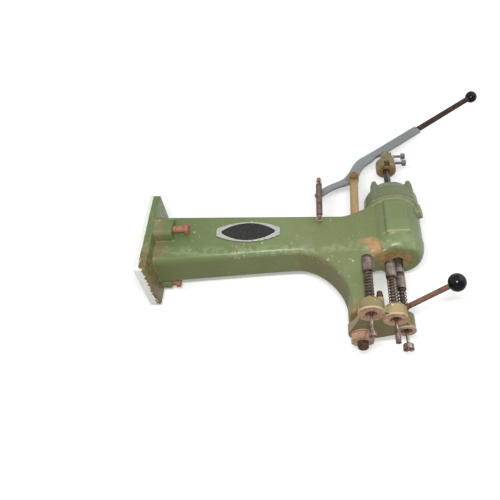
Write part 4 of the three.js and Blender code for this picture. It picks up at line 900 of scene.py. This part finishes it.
def make_frame_hardware():
    for name, reach, _, y, z, out in BOLTS:
        place = Vector((21 + reach + out, y, z))
        fixing(f"flange_bolt_{name}", "frame", bolt(19, 8, 7, 20 + reach + out), OUT, place,
               "rust_orange")
    for i, place in enumerate(CAP_LUGS):
        fixing(f"cap_screw_{i + 1}", "frame", bolt(10, 4, 3, 95), UP, place + 134.3 * UP, "cap")
    for i, place in enumerate(POST_SCREWS):
        fixing(f"post_screw_{i + 1}", "frame", bolt(10, 4, 3, 18), UP, place + 68.6 * UP, "rust")
    pin = [(0, -7), (3.5, -7), (3.5, 14), (4.6, 14), (4.6, 16), (0, 16)]
    thread = [(10 - 0.7 * (i % 2), -217 + 0.9 * i) for i in range(13)]
    stud = [(0, -219), (8, -219), *thread, (10, -205), (10, -112), (0, -112)]
    nut_hole, stud_hole = [disc(6.3, -5, 15, 32)], [disc(10.3, -215, -185, 48)]
    for node, parts, direction, place, look, *cutters in (
        ("pivot_bolt", bolt(17, 4, 6, 29.6), FRONT, PIVOT + Vector((0, -13.8, 0)), "pin_tan"),
        ("pivot_nut", [head(17, 0, 10, both=True)], BACK, PIVOT + Vector((0, 5.5, 0)), "rust", nut_hole),
        ("spring_stud", [lathe(pin, 40, 0.5)], FRONT, Vector((TAIL_PIN.x, -ARM_HALF, 36)), "rust_brown"),
        ("bearing_retainer", [ring(11, 27.7, -39.2, -35.6, 72, 0.7)], UP, MOTOR, "retainer_olive"),
        ("inlet_ring", [ring(8, 12, 57.3, 62, 48, 0.6)], INLET_WAY, INLET_PLACE, "pale_ring"),
        ("turret_stud", [lathe(stud, 64)], UP, TURRET, "stud_dark"),
        ("turret_washer", [ring(10.3, 22.5, -192.9, -190.3, 72, 0.6)], UP, TURRET, "washer_pink"),
        ("turret_nut", [head(41, -206.2, BOSS_FOOT, both=True)], UP, TURRET, "nut_brown", stud_hole),
    ):
        fixing(node, "frame", parts, direction, place, look, cutters)


def make_badge():
    def two_arcs(width, height, end):
        rise = (height - end) / 2
        radius = (width * width / 4 + rise * rise) / (2 * rise)
        turns = span(-asin(width / 2 / radius), asin(width / 2 / radius), 40)
        top = [Vector((-radius * sin(t), height / 2 - radius + radius * cos(t))) for t in turns]
        return [*top, *[-p for p in top[0 if end else 1:None if end else -1]]]

    middle = Vector((204, 11.5))
    plate = side_view([p + middle for p in rounded(two_arcs(127, 49, 18), 2.5, 3, True)], 1, 0.5, 3, -38.8)
    field = side_view([p + middle for p in two_arcs(113, 43, 0)], 1, 0, 0, -40)
    made = fitted("badge_plate_fine", [plate], [[field]])
    pins = [
        lathe([(0, -6), (2.5, -6), (2.5, 1.8), (2.2, 2.3), (1.2, 2.6), (0, 2.7)], 32)
        .aimed(FRONT).moved(x, -ARM_HALF, middle.y)
        for x in PEGS
    ]
    combine(made, pins, "UNION")
    show(made, "frame", "badge_plate", "badge")


# The yoke, the lever and the post


def make_yoke():
    def ear(side):
        outline = [(-9.5, 222), (9.5, 222), *[
            (9.5 * cos(t), ROLLER_Z + 9.5 * sin(t)) for t in span(0, pi, 24)
        ]]
        return side_view([(THROAT + x, z) for x, z in outline], 3, 0.8, 2, 8.5 * side)

    body = [(0, 205), (22, 205), (22.5, 208), (22.5, 226), (22.1, 229), (20, 231), (0, 231)]
    shells = [
        lathe(body, 96, 1.2).at(MOTOR), ear(-1), ear(1),
        box((THROAT + 9, THROAT + 20), (-9.5, 9.5), (222, 243)),
        box((THROAT + 9, THROAT + 15.5), (-9.5, 9.5), (222, 257)),
    ]
    cuts = [
        [
            box((THROAT - 30, THROAT + 10), (-5.5, 5.5), (ROLLER_Z - 10, 290)),
            disc(16.3, 190, 226.6).at(MOTOR),
        ],
        [
            box((THROAT - 6, THROAT + 6), (-30, -8), (190, 218.5)),
            disc(4.3, -30, 30, 32).aimed(BACK).moved(THROAT, 0, ROLLER_Z),
            *[disc(3.3, 8, 40, 24).aimed(OUT).moved(THROAT, 0, z) for z in (252, 231)],
        ],
    ]
    show(cast("yoke_fine", shells, cuts, 0.6, 4), "yoke", "yoke", "yoke")
    for name, z in (("upper", 252), ("lower", 231)):
        fixing(f"yoke_screw_{name}", "yoke", bolt(10, 10, 3, 26, 4), OUT,
               Vector((THROAT + 37, 0, z)), "screw_steel")
    steps = [(-69, 6), (-60, 10), (95, 7.5), (209.5, 12), (212, 7.5), (224.6, 0)]
    shaft, radius = [(0, -69)], 6
    for z, after in steps:
        shaft += [(radius, z), (after, z)]
        radius = after
    keyway = box((8.4, 16), (-2.8, 2.8), (-21, 101))
    quill = lathe(list(dict.fromkeys(shaft)), 64, 0.5)
    fixing("quill", "quill", [quill], UP, MOTOR, "quill_steel", [[keyway]])
    for node, body, part in (
        ("roller_pin", "yoke", disc(4, -12, 12, 40, 0.5)),
        ("roller", "roller", ring(4.3, 8, -4.2, 4.2, 56, 0.5)),
    ):
        fixing(node, body, [part], BACK, MOTOR + ROLLER_Z * UP, "steel")
    fixing("yoke_cover", "yoke", [ring(8.5, 16, 205, 209.2, 64, 0.6)], UP, MOTOR, "pin_tan")


def smooth_line(points, count):
    """A centripetal curve through points, as places and directions."""
    points = [Vector(point) for point in points]
    ends = [2 * points[0] - points[1], *points, 2 * points[-1] - points[-2]]

    def at(t):
        where = t * (len(points) - 1)
        i = min(int(where), len(points) - 2)
        w = where - i
        p = ends[i:i + 4]
        d0, d1, d2 = [max((b - a).length_squared ** 0.25, 1e-4) for a, b in zip(p, p[1:])]
        t1 = ((p[1] - p[0]) / d0 - (p[2] - p[0]) / (d0 + d1) + (p[2] - p[1]) / d1) * d1
        t2 = ((p[2] - p[1]) / d1 - (p[3] - p[1]) / (d1 + d2) + (p[3] - p[2]) / d2) * d1
        c2 = -3 * p[1] + 3 * p[2] - 2 * t1 - t2
        c3 = 2 * p[1] - 2 * p[2] + t1 + t2
        return p[1] + t1 * w + c2 * w * w + c3 * w ** 3

    step = 1e-3
    return [(at(t), at(min(t + step, 1)) - at(max(t - step, 0))) for t in span(0, 1, count)]


def on_bar(share):
    run = 158 * share
    return 38 + run * cos(BAR_ANGLE), 64 + run * sin(BAR_ANGLE)


def make_lever():
    tail = [(-84, -49, 13.5), (-54.01, -24.5, 13.5), (-29.99, -12.495, 14.175), (-15.12, -4.9, 18.225)]
    knee = [(0, 12.8, 22.88), (9.88, 33.92, 22.44), (20.9, 49.92, 22.88), (38, 64, 20.9)]
    bar = [(*on_bar(share), 20) for share in (0.18, 0.6, 1)]
    line = smooth_line([*tail, *knee, *bar], 110)
    edges = []
    for side in (-1, 1):
        row = []
        for place, along in line:
            way = Vector((along.x, along.y)).normalized()
            row.append(Vector((place.x - side * way.y * place.z / 2, place.y + side * way.x * place.z / 2)))
        edges.append(row)
    outline = [p + PIVOT.xz for p in [*edges[0], *reversed(edges[1])]]
    track = []
    for share in span(0, 1, 12):
        turn, z = LEVER_SWING * share, ROLLER_Z - PIVOT.z - STROKE * share
        track.append((75 * cos(turn) - z * sin(turn), 75 * sin(turn) + z * cos(turn), 8.3))
    end = PIVOT + Vector((on_bar(1)[0], 0, on_bar(1)[1]))
    away = Vector((cos(BAR_ANGLE), 0, sin(BAR_ANGLE)))
    shells = [side_view(outline, 5, 1.4, 3), disc(12, -5, 5, 64, 1).aimed(BACK).at(PIVOT)]
    cuts = [[
        disc(6.3, -20, 20, 48).aimed(BACK).at(PIVOT), disc(3.8, -20, 20, 32).aimed(BACK).at(TAIL_PIN),
        disc(3.3, -24.3, 10, 32).aimed(away).at(end),
        side_view([p + PIVOT.xz for p in hull(track)], 9),
    ]]
    show(cast("lever_bar_fine", shells, cuts, 0.8, 3), "lever", "lever_bar", "lever")
    rod = [(0, -24), (3, -24), (3, 0.3), (6.7, 0.3), (6.7, 184.5), (0, 184.5)]
    fixing("lever_rod", "lever", [lathe(rod, 48, 0.7)], away, end, "dark_rod")
    fixing("lever_ball", "lever", [ball(14.7, 8, 1.5, 6.7)], away, end + 190 * away, "knob")
    pin = [(0, -5.5), (3.5, -5.5), (3.5, 51.5), (4.6, 51.5), (4.6, 53.5), (0, 53.5)]
    fixing("tail_pin", "lever", [lathe(pin, 40, 0.5)], FRONT, TAIL_PIN, "rust_brown")


def ball(radius, grip, flat, rod):
    low, hole = radius - flat, rod + GAP
    start = asin(low / radius)
    arc = [(radius * cos(t), radius * sin(t)) for t in span(-start, pi / 2, 36)]
    socket = [(0, grip - low), (hole, grip - low), (hole, -low + 0.4), (hole + 0.5, -low)]
    return lathe([*socket, *arc[:-1], (0, radius)])


def make_post():
    crown = [(PIVOT.x + 9 * cos(t), PIVOT.z + 9 * sin(t)) for t in span(0, pi, 24)]
    bar = side_view([(PIVOT.x - 13, 62.3), (PIVOT.x + 5, 62.3), *crown], 4, 0.8, 2, -9.5)
    foot = box((PIVOT.x - 16, PIVOT.x + 16), (-13.5, 20.5), (62.3, 68.3))
    cuts = [[
        disc(6.3, -20, 20, 48).aimed(BACK).at(PIVOT + Vector((0, -9.5, 0))),
        *[disc(3.3, 50, 80, 24).at(place) for place in POST_SCREWS],
    ]]
    show(cast("lever_post_fine", [bar, foot], cuts, 0.75, 3), "frame", "lever_post", "post")


def eased(points):
    """Cuts every corner of a line twice, so that a wire has no kink."""
    for _ in range(2):
        row = [points[0]]
        for a, b in zip(points, points[1:]):
            row += [a.lerp(b, 0.25), a.lerp(b, 0.75)]
        points = [*row, points[-1]]
    return points


def make_return_spring():
    coil, wire, straight, tail, turns, steps = 5.5, 2.1, 9, 3, 35.5, 20
    over_pin = 3.5 + GAP - coil + wire / 2
    low, high = -over_pin, TAIL_PIN.z - 36 + over_pin
    start = low + straight
    rise = high - straight - start

    def hook(z, side):
        return [Vector((coil * cos(t), 0, z + side * coil * sin(t))) for t in span(0, pi, 16)]

    count = int(turns * steps)
    curls = []
    for i in range(count + 1):
        turn = pi + 2 * pi * i / steps
        curls.append(Vector((coil * cos(turn), coil * sin(turn), start + rise * i / count)))
    points = [
        Vector((coil, 0, low + tail)), *hook(low, -1), Vector((-coil, 0, start - wire)), *curls,
        Vector((coil, 0, high - straight + wire)), *hook(high, 1), Vector((-coil, 0, high - tail)),
    ]
    place = Vector((TAIL_PIN.x, -45, 36))
    wire_piece = new_object("return_spring_fine", [tube([p + place for p in eased(points)], wire / 2)])
    show(wire_piece, None, "return_spring", "return_wire")
    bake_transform(wire_piece)


# The turret and its tools


def boss_top(key):
    return BOSSES[key][1] + BOSS_FOOT


def on_grip(start):
    return around(TURRET, start, GRIP_TURN, (start - 60) * tan(GRIP_RISE) - 166.4)


def grip_length(start, end):
    return (end - start) / cos(GRIP_RISE)


def make_turret():
    tips = [(*(place - TURRET).xy, 13) for place in TOOL_PLACES.values()]
    fan = prism([p + TURRET.xy for p in hull([(0, 0, 25.7), *tips])], -190, -177)
    bosses = []
    for key, (radius, _) in BOSSES.items():
        top, inner = boss_top(key), radius - (0.5 if key == "c" else 1.1)
        profile = [
            (0, -198), (radius, -198), (radius, -188.6), (inner, -187.4),
            (inner, top - 3), (inner - 3, top), (0, top),
        ]
        bosses.append(lathe(profile, 80, 0.8).at(TOOL_PLACES[key]))
    grip = disc(10, 0, grip_length(50, 73), 48, 1).aimed(GRIP_ALONG).at(on_grip(50))
    shells = [
        fan, disc(26, -190, -170.3, 72, 1).at(TURRET), *bosses, grip,
        disc(7, -189, -152, 40, 1).at(OILER_PLACE),
    ]
    bores = [disc(5.3, -210, -150, 40).at(place) for place in TOOL_PLACES.values()]
    recesses = [disc(11, -210, -188.2, 56).at(place) for place in TOOL_PLACES.values()]
    cuts = [
        [box((370, 540), (-120, 50), (-215, BOSS_FOOT))],
        [
            disc(13.3, -200, -160, 56).at(TURRET), *bores,
            disc(3.8, -162.3, -140, 24).at(OILER_PLACE),
            disc(5.3, 0, 40, 32).aimed(GRIP_ALONG).at(on_grip(56)),
        ],
        recesses,
    ]
    show(cast("turret_fine", shells, cuts, 0.9, 5), "turret", "turret_casting", "turret")
    rod = disc(5, 0.3, grip_length(56, 187) - 5.5, 40, 0.6)
    fixing("turret_rod", "turret", [rod], GRIP_ALONG, on_grip(56), "copper_rod")
    fixing("turret_ball", "turret", [ball(16.7, 10, 1.5, 5)], GRIP_ALONG, on_grip(187), "knob")
    cup = [
        (0, -162), (3.5, -162), (3.5, -151.7), (6.2, -151.7), (6.2, -146), (5.4, -145.2), (5.4, -140.6),
        (4.4, -138.6), (0, -138),
    ]
    fixing("oil_cup", "turret", [lathe(cup, 40, 0.6)], UP, OILER_PLACE, "oil_cap")


def make_tool(key):
    place = TOOL_PLACES[key]
    rest, cup_top, cup_roof, cup_foot = boss_top(key), -79.3, -83.3, -105.3
    cup = [(5.3, cup_top), (5.3, cup_roof), (9.3, cup_roof), (9.3, cup_foot), (10, cup_foot), (10, cup_top)]
    fixing(f"spring_cup_{key}", f"cup_{key}", [lathe([*cup, cup[0]], 64, 0.3)], UP, place,
           "cup_steel")
    shaft = [(0, -190), (5, -190), (5, -79), (9.8, -79), (9.8, -73), (0, -73)]
    slot_and_bore = [box((-20, 20), (-3, 3), (-76.2, -60)), disc(3.1, -200, -149.7, 32)]
    fixing(f"tool_spindle_{key}", f"spindle_{key}", [lathe(shaft, 56, 0.5)], UP, place,
           "dark_steel", [slot_and_bore])
    radius, height, reach = BITS[key]
    tip = BOSS_FOOT - reach
    blank = [
        (0, tip), (2.2, tip + 4.6), (2.6, tip + 5.5), (radius - 1.8, tip + 5.5), (radius - 0.9, tip + 2.5),
        (radius, tip + 2.5), (radius, tip + 2.5 + height), (radius - 1, tip + 3.6 + height),
        (2.8, tip + 4.6 + height), (2.8, -150), (0, -150),
    ]
    gashes = [
        box((2.4, radius + 6), (0, 2.2), (tip - 6, tip + 0.7 + height)).spun(turn) for turn in (0, pi)
    ]
    notches = [
        box((radius - 0.8, radius + 3), (-0.8, 0.8), (tip - 6, tip + 0.7 + height)).spun(pi * turn / 6)
        for turn in (2, 3, 4, 8, 9, 10)
    ]
    fixing(f"knot_bit_{key}", f"spindle_{key}", [lathe(blank, 56)], UP, place, "bit_steel_painted_reflection",
           [gashes, notches])
    coil, wire, turns, steps = 7.9, 2.1, SPRING_TURNS[key], 28
    low, high, flat = rest + GAP + wire / 2, cup_roof - GAP - wire / 2, steps * 0.8
    count = turns * steps
    curls = []
    for i in range(count + 1):
        turn, share = 2 * pi * i / steps, min(max((i - flat) / (count - 2 * flat), 0), 1)
        curls.append(Vector((coil * cos(turn), coil * sin(turn), low + (high - low) * share)))
    spring = new_object(f"tool_spring_{key}_fine", [tube([p + place for p in curls], wire / 2)])
    show(spring, "turret", f"tool_spring_{key}", "tool_wire")
    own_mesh(spring)


make_arm()
make_cap()
make_frame_hardware()
make_badge()
make_yoke()
make_lever()
make_post()
make_return_spring()
make_turret()
for key in TOOL_PLACES:
    make_tool(key)

# Camera, from the vanishing points and the known heights in the photograph
bpy.context.scene.view_settings.view_transform = "Standard"
camera = linked("camera", bpy.data.cameras.new("camera"))
camera.location = (0.34745, -0.88798, -0.64317)
camera.rotation_euler = (radians(128.21), 0, radians(2.005))
camera.data.sensor_width = 36
camera.data.lens = 38.77
camera.data.shift_x = -0.11
camera.data.shift_y = -0.05
camera.data.clip_start = 0.05
bpy.context.scene.camera = camera


# Light: soft lamps, and a plain world that is full white to the camera, in metal and through glass
WORLD_LIGHT = 0.42
world = bpy.data.worlds.new("studio")
bpy.context.scene.world = world
world.use_nodes = True
sky = Graph(world.node_tree)
path = sky.add("ShaderNodeLightPath").outputs
seen = path["Is Camera Ray"]
for name in ("Is Glossy Ray", "Is Transmission Ray"):
    seen = sky.sum("MAXIMUM", seen, path[name])
background = world.node_tree.nodes["Background"].inputs
sky.feed(background["Strength"], sky.spread(seen, 0, 1, WORLD_LIGHT, 1))
background["Color"].default_value = (1, 1, 1, 1)


def lamp(name, place, target, width, height, energy):
    light = bpy.data.lights.new(name, "AREA")
    light.shape = "RECTANGLE"
    light.size, light.size_y, light.energy = width, height, energy
    holder = linked(name, light)
    holder.location = place
    holder.rotation_euler = (Vector(target) - Vector(place)).to_track_quat("-Z", "Y").to_euler()


lamp("flash", (0.31, -0.94, -0.535), (0.37, 0, 0), 0.45, 0.06, 8.8)
lamp("fill", (1.3, -0.9, 0.3), (0.4, 0, 0), 0.9, 0.9, 3)


BACKDROP_Y = 0.085
FLOOR_Z = -1.2
# The point of the backdrop behind the object, and where the glow begins and ends to grow away from it
BEHIND, GROWS_FROM, GROWS_TO = (0.36, BACKDROP_Y, -0.02), 0.4, 0.75


def stage_material(name, colour, glow, more, one_sided):
    """Matt, with a glow that makes it white to the camera but for the object's shadow.

    One-sided, it glows more away from the object, and is clear from behind and to light. Otherwise
    it glows more to the camera than to the object.
    """
    material = bpy.data.materials.new(name)
    material.use_nodes = True
    graph = Graph(material.node_tree)
    graph.tree.nodes.clear()
    seen = graph.made("ShaderNodeLightPath", out="Is Camera Ray")
    if one_sided:
        place = graph.made("ShaderNodeTexCoord", out="Object")
        away = graph.vector("DISTANCE", place, BEHIND, out="Value")
        power = graph.spread(away, GROWS_FROM, GROWS_TO, glow, glow + more)
    else:
        power = graph.spread(seen, 0, 1, glow, glow + more)
    matt = graph.made("ShaderNodeBsdfDiffuse", tone(*colour))
    shine = graph.made("ShaderNodeEmission", (1, 1, 1, 1), power)
    shader = graph.made("ShaderNodeAddShader", matt, shine)
    if one_sided:
        behind = graph.made("ShaderNodeNewGeometry", out="Backfacing")
        front = graph.sum("SUBTRACT", seen, behind, use_clamp=True)
        shader = graph.made("ShaderNodeMixShader", front, graph.made("ShaderNodeBsdfTransparent"), shader)
    graph.feed(graph.add("ShaderNodeOutputMaterial").inputs[0], shader)
    return material


def sheet(name, corners, material):
    mesh = bpy.data.meshes.new(name)
    mesh.from_pydata(corners, [], [(0, 1, 2, 3)])
    mesh.materials.append(material)
    linked(name, mesh)


sheet("backdrop", [(x, BACKDROP_Y, z) for x, z in ((-3, FLOOR_Z), (4, FLOOR_Z), (4, 4), (-3, 4))],
      stage_material("backdrop_white", (252, 252, 252), 0.22, 0.5, True))
sheet("floor", [(x, y, FLOOR_Z) for x, y in ((-3, -3), (4, -3), (4, 4), (-3, 4))],
      stage_material("floor_white", (236, 236, 234), 0.1, 0.65, False))
